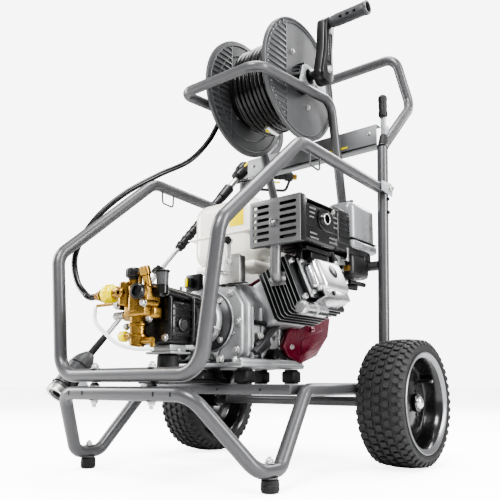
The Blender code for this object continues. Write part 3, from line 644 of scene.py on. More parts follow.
# Hose hook on the left post: sleeve, flat bar, gusset and grip
hook_x = RAIL_HALF
hook_y = KINK_Y + 10
box((15, 5.5, 56), (hook_x, hook_y, KINK_Z + 62), PANEL, 1)
rod((hook_x, KINK_Y + 2, KINK_Z + 6), (hook_x, KINK_Y + 10, KINK_Z + 36), 13, RUBBER, 10.5)
web = [(hook_y + 2, KINK_Z + 36), (hook_y + 34, KINK_Z + 46), (hook_y + 30, KINK_Z + 72),
       (hook_y + 2, KINK_Z + 70)]
prism(web, hook_x - 2, hook_x + 2, PANEL, 0.6)
assemble("hose_hook", "flat")
lathe([(0, 62), (7.5, 61), (11.5, 57), (12.5, 50), (11, 40), (11.8, 30),
       (10.8, 20), (12.5, 6), (10.5, 0), (0, 0)],
      (hook_x, hook_y, KINK_Z + 90.3), Z, RUBBER, 40)
assemble("hook_grip", "moulded")

# ---------------------------------------------------------------- wheels


def add_lug(lugs, size, at, rotation):
    """Add one rounded-square turf lug to a mesh."""
    lift = 8.0
    bm = bmesh.new()
    bmesh.ops.create_cube(bm, size=1.0)
    bmesh.ops.scale(bm, vec=(size[0], size[1], lift), verts=bm.verts)
    upright = [e for e in bm.edges if abs(e.verts[0].co.z - e.verts[1].co.z) > lift / 2]
    bmesh.ops.bevel(bm, geom=upright, offset=min(size) * 0.28, segments=3, profile=0.5, affect="EDGES")
    crown = [e for e in bm.edges if e.verts[0].co.z > 0 and e.verts[1].co.z > 0]
    bmesh.ops.bevel(bm, geom=crown, offset=lift * 0.18, segments=1, affect="EDGES")
    bm.transform(Matrix.Translation(at) @ rotation.to_matrix().to_4x4())
    mesh = bpy.data.meshes.new("lug")
    bm.to_mesh(mesh)
    bm.free()
    lugs.from_mesh(mesh)
    bpy.data.meshes.remove(mesh)


def build_wheel(side, title):
    """Turf tyre with lugs, and a dished rim with hub, valve and bolts."""
    at = Vector((side * WHEEL_X, AXLE_Y, TYRE_R))
    half = 56
    carcass = [
        (104.5, half * 0.66), (108.5, half * 0.8), (113, half * 0.93), (122, half * 1.0),
        (130, half * 1.015), (136.5, half * 0.98), (141.2, half * 0.88), (143.9, half * 0.7),
        (144.8, half * 0.35), (144.8, -half * 0.35), (143.9, -half * 0.7), (141.2, -half * 0.88),
        (136.5, -half * 0.98), (130, -half * 1.015), (122, -half * 1.0), (113, -half * 0.93),
        (108.5, -half * 0.8), (104.5, -half * 0.66),
    ]
    lathe(carcass, at, side * X, TYRE, 96, True)
    for offset in (122.5, 126.5):
        ring = around(at + side * X * half * 1.008, offset, 96, X)
        pipe(ring, 0.9, TYRE, 2, True)
    lugs = bmesh.new()
    rows = 44
    columns = [(-40.5, 0.5), (-20.5, 0), (0, 0.5), (20.5, 0), (40.5, 0.5)]
    turn_step = math.tau / rows
    for row in range(rows):
        for across, stagger in columns:
            spin = Quaternion(X, (row + stagger) * turn_step)
            tilt = across / 40.5 * math.radians(14.0)
            radius = 146 - across ** 2 * 0.0019
            add_lug(lugs, (15, 14.8), spin @ Vector((across, 0, radius)), spin @ Quaternion(Y, tilt))
        for edge in (1, -1):
            spin = Quaternion(X, row * turn_step)
            lean = spin @ Quaternion(Y, edge * math.radians(52.0))
            add_lug(lugs, (15, 12), spin @ Vector((edge * 51, 0, 139)), lean)
    from_bm(lugs, TYRE, at)
    body = "wheel_" + title
    assemble("tyre_" + title, "turf", body)

    face = [
        (103.5, half * 0.66), (112, half * 0.84), (116.5, half * 0.93), (118, half * 0.99),
        (116, half * 1.01), (111, half * 0.98), (106, half * 0.9), (101.5, half * 0.78),
        (98.5, half * 0.55), (97.5, half * 0.2), (95, half * 0.13), (86, half * 0.11),
        (83.5, half * 0.17), (70, half * 0.19), (60, half * 0.24), (48, half * 0.36),
        (36, half * 0.4), (34, half * 0.42), (21.5, half * 0.44), (21.5, half * 0.6),
        (20.5, half * 0.62), (12.5, half * 0.62), (12.5, -half * 0.75), (20.5, -half * 0.75),
        (21.5, -half * 0.72), (21.5, half * 0.28), (34, half * 0.3), (47, half * 0.24),
        (59, half * 0.1), (70, half * 0.06), (95, half * 0.0), (98.5, -half * 0.1),
        (98.5, -half * 0.7), (103.5, -half * 0.84), (115, -half * 0.98), (117, -half * 0.94),
        (103.5, -half * 0.66),
    ]
    lathe(face, at, side * X, RIM, 96, True)
    edge_ring = [
        (116.6, half * 0.955), (118.4, half * 1.0), (116, half * 1.022), (110, half * 0.985),
        (105.2, half * 0.9), (106.2, half * 0.885),
    ]
    lathe(edge_ring, at, side * X, BEAD, 96, True)
    cap = [(0, 11), (8, 10.5), (13.5, 7.5), (16, 2), (16, 0), (0, 0)]
    lathe(cap, at + side * X * half * 0.6, side * X, STEEL, 40)
    for where in around(at + side * X * half * 0.4, 29, 5, side * X, 0.3):
        cap_screw(where, side * X, 4.2, 4, RIM)
    valve = 0.6
    stem = at + Vector((side * half * 0.15, 88 * math.cos(valve), 88 * math.sin(valve)))
    rod(stem, stem + side * X * 24, 4.2, RUBBER, 3.2)
    rod(stem + side * X * 24, stem + side * X * 32, 3.6, ZINC)
    assemble("rim_" + title, "dished", body)


build_wheel(1, "left")
build_wheel(-1, "right")

# ---------------------------------------------------------------- engine

TILT = Quaternion(Y, -CYLINDER_TILT)
GUARD = finish("guard", (0.170, 0.170, 0.173), 0.36, 0.60, 0.12, 22.0, 0.10, 420.0)


def cylinder_point(along, across=0, y=CYLINDER_Y):
    """A point measured along and across the tilted cylinder from the crankshaft."""
    c = math.cos(CYLINDER_TILT)
    s = math.sin(CYLINDER_TILT)
    return Vector((along * c - across * s, y, CRANK_Z + along * s + across * c))


def build_block(outline, y_low, y_high, material, bevel):
    """A piece with an (x, z) outline, drawn out along Y."""
    stand = Matrix(((1, 0, 0), (0, 0, -1), (0, 1, 0))).to_quaternion()
    return plate(outline, y_high - y_low, (0, (y_low + y_high) / 2, 0), stand, material, bevel)


case_outline = [(-86, 240), (86, 240), (100, 262), (100, 372), (74, 418), (-60, 421),
                (-94, 396), (-100, 262)]
cover_outline = [(x * 0.93, 331 + (z - 331) * 0.93) for x, z in case_outline]
build_block(case_outline, -160, 40, CAST, 10)
build_block(cover_outline, -174, -157, CAST, 5)
box((220, 240, 12), (8, -84, 234.5), CAST, 4, None, 3)
for x in (-92, 108):
    box((16, 236, 18), (x, -84, 241), CAST, 5, None, 3)
for x, z in ((-78, 268), (78, 268), (-84, 330), (84, 330), (-60, 398), (60, 398),
             (0, 253)):
    rod((x, -172, z), (x, -176.5, z), 9.5, CAST)
    hexagon((x, -176.3, z), -Y, 12.5, 5, ZINC)
for i in range(6):
    y = -148 + i * 33
    box((10, 5, 120), (100.5, y, 305), CAST, 1.5)
    box((8, 5, 110), (-100.5, y, 318), CAST, 1.5)
for turn in (-0.95, -0.45, 0.45, 0.95):
    rib_at = Vector((math.sin(turn) * 72, -175.5, CRANK_Z - math.cos(turn) * 72 + 4))
    box((4.5, 4, 36), rib_at, CAST, 1.2, Quaternion(Y, turn))
# Oil filler, drain plug and foot bolts
lathe([(0, 20), (10, 20), (12, 17), (12, 4), (14, 0), (0, 0)],
      (-76, -180, 262), -Y + 0.5 * Z, PLASTIC, 24)
hexagon((60, -206, 247), -Y, 16, 6, ZINC)
for x in (-5, 88):
    for y in (-190, 22):
        hexagon((x, max(y, -196), 240.4), Z, 16.5, 7, ZINC, 4)
lathe([(34, 0), (70, 0), (72, 3), (70, 5.5), (34, 5.5)],
      (0, -173.5, CRANK_Z), -Y, CAST, 64, True)
# Dark brackets and the oil switch on the side of the case
box((16, 50, 30), (106, -118, 282), DARK_CAST, 4, Quaternion(X, 0.5), 3)
rod((108, -150, 262), (116, -70, 330), 7.5, DARK_CAST)
rod((104, -140, 330), (104, -60, 330), 6, BLACK)
rod((100, -82, 262), (124, -82, 262), 12, BLACK)
hexagon((110, -130, 300), X, 13, 5, ZINC)
hexagon((108, -62, 300), X, 11, 5, ZINC)
# Barrel root, ignition box and the rod that leans on the case
box((40, 128, 112), cylinder_point(108), CAST, 10, TILT, 3)
box((52, 30, 40), (-55, -60, 440), PLASTIC, 4)
rod((20, -150, 415), (10, -158, 462), 6, BLACK)
assemble("crankcase", "cast")

for number, (x, y) in enumerate(((-5, -158), (88, -158), (-5, 22), (88, 22)), 1):
    box((36, 34, 28), (x, y, 210), RUBBER, 5, None, 3)
    lathe([(0, 0), (16.5, 0), (16.5, 4), (14.8, 9), (14.8, 25), (16.5, 30),
           (16.5, 34.4), (0, 34.4)], (x, y, 193.3), Z, RUBBER, 32)
    assemble("engine_mount_%d" % number, "rubber")

# Finned cylinder: dark fins, each with a thin lighter plate inside whose rim shows as a painted highlight
# along the fin edge
fin_outline = [(-58, -89), (58, -89), (65, -80), (65, 80), (58, 89), (-58, 89),
               (-65, 80), (-65, -80)]
fin_stand = (Matrix(((math.cos(CYLINDER_TILT), 0, math.sin(CYLINDER_TILT)), (0, 1, 0),
                     (-math.sin(CYLINDER_TILT), 0, math.cos(CYLINDER_TILT)))).transposed()
             @ Matrix(((0, 0, 1), (0, 1, 0), (-1, 0, 0)))).to_quaternion()
box((98, 116, 96), cylinder_point(178), DARK_CAST, 6, TILT)
for i in range(9):
    along = 134 + i * 10.4
    narrow = 0.94 if i < 6 else 1.0
    outline = [(x * narrow, y * narrow) for x, y in fin_outline]
    edge = [(x * narrow * 1.010, y * narrow * 1.006) for x, y in fin_outline]
    plate(outline, 3.8, cylinder_point(along), fin_stand, DARK_CAST, 0.6)
    # Thin lighter plate whose rim peeks out round the fin: painted highlight on the fin edge
    plate(edge, 1.4, cylinder_point(along), fin_stand, CAST, 0)
# Fins on the head, each with a thin lighter core whose top edge peeks out: painted highlight along the fin
# tops
for i in range(7):
    y = CYLINDER_Y - 78 + i * 9
    box((34, 2.8, 20), cylinder_point(206, 52, y), DARK_CAST, 0.6, TILT)
    box((34, 1, 20.6), cylinder_point(206, 52.5, y), CAST, 0, TILT)
for across, y in ((50, -118), (-50, -118), (50, 40), (-50, 40)):
    cap_screw(cylinder_point(219, across * 0.9, y), fin_stand @ Z, 7, 10, ZINC)
# Lower shroud plate and the breather pipe under the head
box((46, 104, 4), cylinder_point(236, -60, -44), STEEL, 1, TILT)
box((4, 104, 22), cylinder_point(259, -50, -44), STEEL, 1, TILT)
hexagon(cylinder_point(261, -50, -60), TILT @ X, 10, 4, BLACK)
rod(cylinder_point(218, -72, -146), cylinder_point(218, -72, -50), 14.5, STEEL, edge=3)
rod(cylinder_point(218, -72, -142), cylinder_point(218, -72, -132), 16, CAST, edge=1)
rod(cylinder_point(218, -72, -98), cylinder_point(218, -72, -92), 16, CAST, edge=1)
assemble("cylinder_block", "finned")

box((6, 136, 100), cylinder_point(231.5), CAST, 10, TILT, 3)
box((36, 116, 84), cylinder_point(250, -2, CYLINDER_Y + 4), STEEL, 17, TILT, 6)
box((20, 124, 60), cylinder_point(244, -2, CYLINDER_Y + 2), STEEL, 9, TILT, 4)
badge_at = cylinder_point(266, 4, CYLINDER_Y + 4)
badge_way = TILT @ X
lathe([(0, 3), (14.5, 3), (16.5, 2.2), (17.5, 0), (0, 0)], badge_at, badge_way, BLACK, 40)
pipe(around(badge_at + badge_way * 2, 17, 40, badge_way), 1, STEEL, 2, True)
for across in (40, -40):
    for y in (-56, 56):
        hexagon(cylinder_point(234, across, CYLINDER_Y + y * 1.06), badge_way, 12.5, 5, ZINC)
assemble("valve_cover", "domed")

plug_way = Vector((-math.sin(CYLINDER_TILT), 0, math.cos(CYLINDER_TILT)))
plug_at = cylinder_point(248, 52, CYLINDER_Y + 72)
rod(plug_at - plug_way * 4, plug_at + plug_way * 6, 7.5, ZINC)
lathe([(0, 0), (9.5, 0), (11, 4), (8.5, 14), (9, 24), (6, 28), (0, 28)],
      plug_at, plug_way, RUBBER, 28)
assemble("spark_plug", "boot", node="spark_plug_cap")

# Exhaust: flange, bent pipe, box with its outlet, and the slotted guard
elbow_route = rounded([(160, -122, 424), (160, -139.5, 424), (162, -140, 500.5)], [13.5])
pipe(elbow_route, 12.2, GUARD, 8)
box((40, 5, 30), (160, -127.5, 424), GUARD, 1.5)
for dx in (-14.5, 14.5):
    hexagon((160 + dx * 1.15, -130, 424), -Y, 9.5, 4, ZINC, 2)
assemble("exhaust_elbow", "bent")

box_at = Vector((170, -70, 549))
box((124, 158, 94), box_at, BLACK, 12, None, 4)
box((130, 164, 4), box_at + Z * 47, BLACK, 1.5)
box((128, 162, 3), box_at - Z * 12, BLACK, 1.2)
side_x = box_at.x + 62
outlet = Vector((side_x, -52, 563))
lathe([(10, 0), (24, 0), (25.5, 2), (23.5, 4), (16.5, 3.5), (15, 7),
       (13, 10.5), (10, 10.5)], outlet, X, BLACK, 48, True)
pipe(around(outlet + X * 9.8, 11.7, 40, X), 1.7, ZINC, 3, True)
for dy, dz, long in ((-52, 30, 26), (-54, 20, 22), (-56, 10, 18), (44, 28, 20),
                     (46, 16, 18), (46, 4, 18), (-50, -26, 30), (-46, -36, 34),
                     (34, -24, 34), (34, -34, 34)):
    box((3, long, 4.2), (side_x + 0.6, outlet.y + dy + 6, 549 + dz), GUARD, 1)
for y in (-130, -10):
    hexagon((231.5, y, 590), X, 10, 4, ZINC)
# Perforated edge and ribs of the top shield
for i in range(16):
    box((3, 5, 2.2), (110 + i * 7.8, -151.5, 600.5), GUARD, 0.6)
for i in range(5):
    box((104, 6, 3), (170, -125 + i * 26, 598.5), BLACK, 1)
# Shield and stays between the head and the box
box((64, 104, 10), (186, -48, 493.5), BLACK, 2)
box((34, 70, 16), (196, -40, 481), BLACK, 3)
for y in (-100, 0):
    box((18, 3, 52), (196, y, 480), BLACK, 0.8)
assemble("muffler", "box")

guard_y = box_at.y - 85
guard_plate = box((138, 3, 104), (box_at.x, guard_y, box_at.z), GUARD, 0.8)
holes = []
for column in (-1, 1):
    for row in range(6):
        where = (box_at.x + column * 36.5, guard_y, box_at.z - 38.5 + row * 15)
        holes.append(box((44, 12, 7.2), where, GUARD, 3, None, 3))
guard_plate = cut(guard_plate, *holes)
box((138, 20, 2.5), (box_at.x, guard_y + 9.5, box_at.z + 51.2), GUARD, 0.8)
box((138, 14, 2.5), (box_at.x, guard_y + 6.5, box_at.z - 51.2), GUARD, 0.8)
# Side flange of the guard drawn black: painted shade on that face of the grey guard
box((2.5, 22, 104), (box_at.x + 68, guard_y + 10.5, box_at.z), BLACK, 0.8)
boss = Vector((box_at.x - 2, guard_y - 0.5, box_at.z - 2))
lathe([(0, 2), (5.2, 2), (6.2, 5.5), (9.8, 4.8), (11.5, 0), (0, 0)],
      boss, -Y, GUARD, 32)
cap_screw(boss - Y * 1.5, -Y, 4.2, 3, ZINC)
assemble("muffler_guard", "slotted")

# Carburettor with its bowl, levers and rods
box((44, 56, 40), (165, 95, 492), CAST, 6, None, 3)
rod((165, 95, 474), (165, 95, 434), 20, CAST, 18, edge=3)
rod((165, 95, 476), (165, 95, 470), 22, ZINC)
rod((165, 95, 436), (165, 95, 428), 5.5, BRASS)
rod((165, 50, 492), (165, 140, 492), 18, CAST, edge=2)
box((50, 4, 50), (165, 62, 492), BLACK, 2)
rod((187, 102, 500), (205, 102, 500), 4, ZINC)
box((3, 10, 34), (204, 106, 512), ZINC, 1)
rod((187, 120, 482), (200, 120, 482), 7.5, BRASS)
rod((187, 85, 478), (203, 85, 478), 5, BLACK)
box((30, 60, 26), (166, 150, 470), BLACK, 5, None, 3)
rod((178, 155, 452), (196, 205, 448), 6, BLACK)
rod((150, 150, 445), (190, 178, 438), 7.5, DARK_CAST)
box((34, 8, 14), (178, 190, 470), ZINC, 2)
assemble("carburettor", "cast")

box((82, 68, 96), (165, 87, 578), PLASTIC, 12, None, 4)
box((76, 160, 26), (166, 130, 530), PLASTIC, 8, None, 3)
box((64, 96, 62), (170, 178, 494), PLASTIC, 14, None, 3)
box((70, 40, 30), (168, 214, 520), PLASTIC, 8, None, 3)
box((4, 50, 60), (205.5, 87, 580), BLACK, 1.5)
for i in range(4):
    box((4, 52, 3), (206, 87, 556 + i * 14), PLASTIC, 1)
assemble("air_cleaner_base", "moulded")
box((80, 128, 112), (168, 188, 604), LIGHT, 20, None, 6)
box((86, 134, 24), (168, 188, 545), LIGHT, 9, None, 4)
box((83, 131, 3), (168, 188, 559), PLASTIC, 1)
rod((168, 178, 656), (168, 178, 667), 5, ZINC)
box((30, 6, 11), (168, 178, 669), PLASTIC, 2.8, None, 3)
rod((168, 178, 659), (168, 178, 664.5), 10.5, PLASTIC)
assemble("air_cleaner_cover", "moulded")

# Fuel tank in two pressings with their seam, a plain coloured patch and the filler
box((214, 226, 172), (-55, 35, 575), WHITE, 40, None, 10)
box((222, 234, 2.6), (-55, 35, 566), WHITE, 1)
box((196, 206, 20), (-55, 35, 486), WHITE, 9, None, 3)
rod((-80, 60, 650), (-80, 60, 668.5), 26, ZINC, edge=2)
box((46, 1.2, 44), (-4, -78, 604), YELLOW, 0.5)
for x in (-150, 40):
    box((26, 30, 4), (x, 35, 470), ZINC, 1)
    box((4, 30, 60), (x - math.copysign(10, x), 35, 442), ZINC, 1)
assemble("fuel_tank", "pressed")
lathe([(0, 22.5), (12, 22), (26, 19.5), (32, 15), (34, 10), (34, 1),
       (32, 0), (0, 0)], (-80, 60, 670.3), Z, PLASTIC, 56)
for where in around((-80, 60, 677), 33.5, 24, Z):
    box((3, 3, 12), where, PLASTIC, 0.8)
assemble("tank_cap", "ribbed", "fuel_cap")

# Maroon fan cover with its recoil starter
front = ENGINE_FRONT_Y + 215 + 8
centre = Vector((0, front, CRANK_Z + 16))
shell = lathe([(122, 0), (123.5, 4), (122.5, 12), (118, 50), (112, 66), (98, 80),
               (92, 83), (88, 90), (60, 95), (40, 95), (40, 90), (58, 90),
               (85, 84), (95, 76), (108, 62), (114, 48), (117.5, 0)], centre, Y, MAROON, 96, True)
slots = []
for where in around(centre + Y * 88, 73, 14, Y):
    way = (where - centre - Y * 88).normalized()
    slots.append(box((9, 30, 26), where, MAROON, 3, Quaternion(Y, math.atan2(way.x, way.z)), 2))
shell = cut(shell, *slots)
for where in around(centre + Y * 8, 123, 8, Y, 0.2):
    rod(where, where + Y * 12, 6.5, MAROON)
    hexagon(where + Y * 11.5, Y, 10, 4, ZINC)
lathe([(0, 3.5), (34, 3.5), (38, 1.5), (39, 0), (0, 0)], centre + Y * 93.5, Y, BLACK, 48)
rod((-100, front + 30, CRANK_Z + 80), (-124, front + 30, CRANK_Z + 80), 10, MAROON, 7.5)
shroud = [(-52, 281), (-24, 326), (120, 372), (158, 362), (146, 314), (90, 262),
          (20, 241), (-30, 258)]
prism(shroud, 103, 119, MAROON, 4)
prism([(20, 262), (110, 300), (120, 330), (20, 296)], 118.5, 121.5, MAROON, 1)
hexagon((119, -20, 280), X, 11, 4, ZINC)
hexagon((119, 100, 350), X, 11, 4, ZINC)
assemble("fan_cover", "pressed")
pull = Vector((-136, front + 30, CRANK_Z + 80))
box((18, 20, 68), pull, PLASTIC, 7, None, 5)
rod(pull + X * 8, pull + X * 11.5, 6, PLASTIC)
for i in range(5):
    box((19.5, 21.2, 2.2), pull + Z * (-22 + i * 11), PLASTIC, 0.9)
assemble("starter_grip", "moulded", "starter")

rod((0, -219.5, CRANK_Z), (0, 89.5, CRANK_Z), 12.4, STEEL, edge=1)
lathe([(0, 0), (60, 0), (82, 3), (85, 6), (85, 16.5), (0, 16.5)],
      (0, 54.5, CRANK_Z), Y, CAST, 64)
for where in around((0, 64, CRANK_Z), 65, 16, Y):
    way = (where - Vector((0, 64, CRANK_Z))).normalized()
    box((2.5, 14, 26), where, CAST, 0.8, Quaternion(Y, math.atan2(way.x, way.z) + 0.35))
assemble("crankshaft", "turned", "engine_shaft")

# Controls on the front: bracket, lever, springs and the stop switch
plate([(-5, -6), (5, -6), (6, 40), (11, 46), (11, 52), (0, 57),
       (-9, 50), (-6, 40)], 3.2, (62, -184, 466),
      Matrix.Rotation(math.radians(90), 4, "X").to_quaternion(), ZINC, 0.6)
rod((62, -189.5, 466), (62, -179, 466), 5, ZINC)
lathe([(0, 0), (8.5, 1), (9.5, 4), (8.5, 7), (0, 8)], (62, -183, 516), -Y, BLACK, 24)
assemble("throttle_lever", "plate", "throttle")
box((20, 15, 24), (-60, -184, 430), PLASTIC, 3, None, 3)
box((6, 6, 20), (-60, -193, 430), YELLOW, 1.5)
assemble("engine_switch", "knob", "stop_switch")
box((60, 3, 66), (58, -174.5, 452), ZINC, 1)
box((60, 30, 3), (58, -160, 421.5), ZINC, 1)
box((4, 20, 58), (86, -165, 452), ZINC, 1)
box((46, 16, 42), (-60, -166, 432), PLASTIC, 4)
rod((30, -177, 448), (30, -182, 448), 4.5, ZINC)
spring = [Vector((30 + i / 3, -180.5 + 2.8 * math.cos(i * 0.7), 442 + 2.8 * math.sin(i * 0.7)))
          for i in range(91)]
pipe(spring, 0.7, ZINC, 2)
assemble("control", "bracket", node="")

# ---------------------------------------------------------------- pump

lathe([(68, 0), (68, 10), (64, 14), (53, 19), (50, 30), (46.5, 98.5),
       (56, 99), (56, 103.5), (26, 103.5), (26, 4), (40, 0)],
      (0, -175.3, CRANK_Z), -Y, DARK_CAST, 72, True)
lathe([(50, 0), (56.5, 1), (57.5, 3), (57.5, 17), (56, 19), (50, 20)],
      (0, -196, CRANK_Z), -Y, CAST, 72, True)
for where in around((0, -189, CRANK_Z), 61, 4, Y, math.pi / 4):
    hexagon(where, -Y, 13, 5, ZINC)
for where in around((0, -279, CRANK_Z), 52.5, 6, Y, 0.4):
    rod(where, where + Y * 82, 4.2, BLACK)
    rod(where + Y * 60, where + Y * 80, 5.5, ZINC)
for turn in range(12):
    angle = math.tau * turn / 12
    at = Vector((math.sin(angle) * 48.5, -245, CRANK_Z + math.cos(angle) * 48.5))
    box((3.5, 54, 6), at, DARK_CAST, 1, Quaternion(Y, angle))
assemble("pump_adapter", "cast")

box((112, 80, 92), (0, -321, 323), BLACK, 22, None, 6)
box((122, 12, 92), (0, -356, 325), BLACK, 10, None, 4)
box((122, 10, 96), (0, -290, 327), BLACK, 10, None, 4)
rod((0, -360, 356), (0, -282, 356), 38, BLACK, edge=4, steps=56)
box((100, 80, 14), (0, -321, 282), BLACK, 4, None, 3)
lathe([(0, 6), (12, 6), (15, 5), (16.5, 0), (0, 0)], (55, -320, 315), X, BLACK, 32)
rod((60, -320, 315), (62, -320, 315), 9, DARK_CAST)
rod((44, -370, 382), (44, -220, 364), 8.5, BLACK)
rod((-30, -370, 388), (-30, -220, 378), 8.5, BLACK)
rod((16, -368, 393), (16, -230, 383), 6.5, DARK_CAST)
for z in (292, 306, 332, 346):
    box((116, 60, 3.5), (0, -320, z), BLACK, 1)
for x in (-50, 50):
    for z in (286, 378):
        hexagon((x, -361.8, z), -Y, 12.5, 6, ZINC)
for y in (-344, -298):
    rod((30, y, 388), (30, y, 399), 5, ZINC)
    rod((-30, y, 388), (-30, y, 399), 5, ZINC)
lathe([(0, 16), (10, 16), (12.5, 12), (12.5, 3), (15, 0), (0, 0)],
      (-5, -320, 390), Z, BLACK, 24)
assemble("pump_crankcase", "ribbed")

port_y = -394.5
box((88, 48, 40), (0, -389, 370), BRASS, 8, None, 4)
box((60, 40, 28), (10, port_y, 340), BRASS, 6, None, 4)
box((94, 30, 26), (0, -380, 335), BRASS, 7, None, 3)
rod((-20, -408, 350), (-20, -408, 399), 15, BRASS, 13.5, edge=3)
rod((10, -408, 335), (10, -408, 390), 14.5, BRASS, edge=3)
rod((4, port_y, 270), (4, port_y, 340), 16.5, BRASS, edge=2)
rod((4, port_y, 285), (4, port_y, 293), 20.5, BRASS, edge=2)
rod((4, port_y, 308), (4, port_y, 315), 20, BRASS, edge=2)
rod((4, port_y, 266), (4, port_y, 271), 13, BRASS)
# Branch towards the hose coupling
rod((-36, port_y, 381), (-70, port_y, 381), 12, BRASS, edge=1)
rod((-48, port_y, 381), (-58, port_y, 381), 15.5, BRASS, edge=2)
# Gauge port, brass ring port and black cap on the front
rod((34, -408, 374), (34, -422, 374), 15, BRASS, edge=2)
lathe([(8.5, 0), (16.5, 0), (16.5, 8), (15, 10.5), (10, 11), (8.5, 8)],
      (34, -420, 374), -Y, BLACK, 48, True)
rod((34, -419, 374), (34, -425, 374), 9, RUBBER)
lathe([(4.2, 0), (10.5, 0), (10.5, 5), (8.5, 7.5), (4.2, 7.5)],
      (-20, -421, 376), -Y, BRASS, 40, True)
rod((-20, -418, 376), (-20, -424, 376), 4.5, BLACK)
# Top: neck under the knob, screw, tilted plug and the valve cylinder
rod((-10, port_y, 385), (-10, port_y, 404.5), 13, BRASS, edge=1)
rod((14, -400, 385), (14, -400, 418), 3.8, BRASS)
rod((14, -400, 412), (14, -400, 417), 5.8, BRASS)
rod((34, -396, 386), (34, -406, 419), 8.5, BRASS)
rod((34, -403, 409), (34, -409.5, 426), 11.5, BRASS, edge=2)
rod((57, -380, 372), (57, -380, 390), 12.5, BLACK)
box((30, 18, 16), (45, -380, 373), BLACK, 3)
rod((57, -380, 388), (57, -380, 416), 11.5, GREY, 12.8, edge=1)
rod((57, -380, 416), (57, -380, 419.5), 15.2, BLACK, edge=1)
# Dipstick cap beside the column and the thermal valve on the right
lathe([(0, 18), (9, 18), (11, 15), (11.5, 4), (8.5, 0), (0, 0)],
      (-30, -395, 290), -X, YELLOW, 24)
rod((-8, -395, 290), (-30, -395, 290), 7.5, BRASS)
rod((-8, -399, 333), (-30, -399, 333), 8, BRASS, edge=1)
rod((-30, -399, 333), (-64, -399, 333), 3.2, ZINC)
for x, z in ((40, 352), (-40, 352)):
    hexagon((x, -412, z), -Y, 13.5, 6, ZINC)
    rod((x, -380, z), (x, -413, z), 8, BRASS)
for x, z in ((34, 323), (-34, 310)):
    hexagon((x, -390, z), -Y, 12.5, 6, ZINC)
spring = [Vector((-31 - 31 * i / 160, -399 + 6.8 * math.cos(i * 0.31), 333 + 6.8 * math.sin(i * 0.31)))
          for i in range(161)]
pipe(spring, 1.1, ZINC, 2)
# Lower elbow that the clear tube plugs into
rod((4, port_y, 279), (48, port_y, 279), 7, BRASS)
rod((48, port_y, 274), (48, port_y, 265), 5.5, BRASS)
rod((-44, -415, 356), (-100, -418, 356), 3.2, BRASS)
assemble("pump_manifold", "cast")

knob_at = Vector((-10, port_y, 405.3))
lathe([(0, 0), (12, 0), (12.5, 3), (16.5, 4.5), (17.2, 6), (17.2, 20),
       (16, 22.5), (13, 23.5), (0, 24)], knob_at, Z, PLASTIC, 56)
for where in around(knob_at + Z * 13, 17, 20, Z):
    box((2.2, 2.2, 14), where, PLASTIC, 0.6)
assemble("pressure_knob", "ribbed", "pressure_dial")

coupling_at = Vector((-70.3, port_y, 381))
lathe([(0, 0), (12, 0), (17, 4), (20.5, 9), (21, 22), (18, 29),
       (12, 32), (0, 32)], coupling_at, -X, YELLOW, 48)
rod(coupling_at - X * 30, coupling_at - X * 36, 13.5, BRASS, edge=1)
rod(coupling_at - X * 34, coupling_at - X * 61.7, 8.5, BRASS, edge=1)
hexagon(coupling_at - X * 38, -X, 23.5, 12, BRASS)
for where in around(coupling_at - X * 15.5, 20.5, 14, X):
    box((15, 4.2, 3.6), where, YELLOW, 1.2, facing(where - coupling_at, X))
for where in around(coupling_at - X * 4, 15, 3, X):
    rod(where, where - X * 6, 3, ZINC)
assemble("outlet_coupling", "collar", "hose_coupling")

box((88, 190, 4), (20, -271.5, 203.4), BLACK, 1)
box((4, 190, 11), (-22, -271.5, 199.6), BLACK, 1)
box((4, 190, 11), (62, -271.5, 199.6), BLACK, 1)
box((88, 4, 11), (20, -364.5, 199.6), BLACK, 1)
rod((20, -325.3, 204), (20, -325.3, 254), 23.5, RUBBER, 22.5, edge=3, steps=48)
box((76, 56, 5), (20, -325.3, 257), LIGHT, 1.5)
box((60, 48, 15), (20, -325.3, 266.5), LIGHT, 4)
for x in (-10, 50):
    hexagon((x, -325.3, 259.5), Z, 10, 5, ZINC)
assemble("pump_bracket", "folded")

# ---------------------------------------------------------------- hose reel

SHAFT_AT = Vector((0, REEL_Y, REEL_Z))
RIB_EDGE = 66
RIB_REACH = 149
RIB_COUNT = 19
RIB_PITCH = 15.6
lathe([(0, -87.5), (51.5, -87.5), (51.5, 87.5), (0, 87.5)], SHAFT_AT, X, PLASTIC, 64)
rod(SHAFT_AT + X * 87, SHAFT_AT + X * 184, 10.8, PLASTIC)
rod(SHAFT_AT - X * 87, SHAFT_AT - X * 125.2, 10.8, BRASS)
cap_screw(SHAFT_AT + X * 183.5, X, 8, 4, ZINC)
assemble("reel_drum", "turned", "reel")


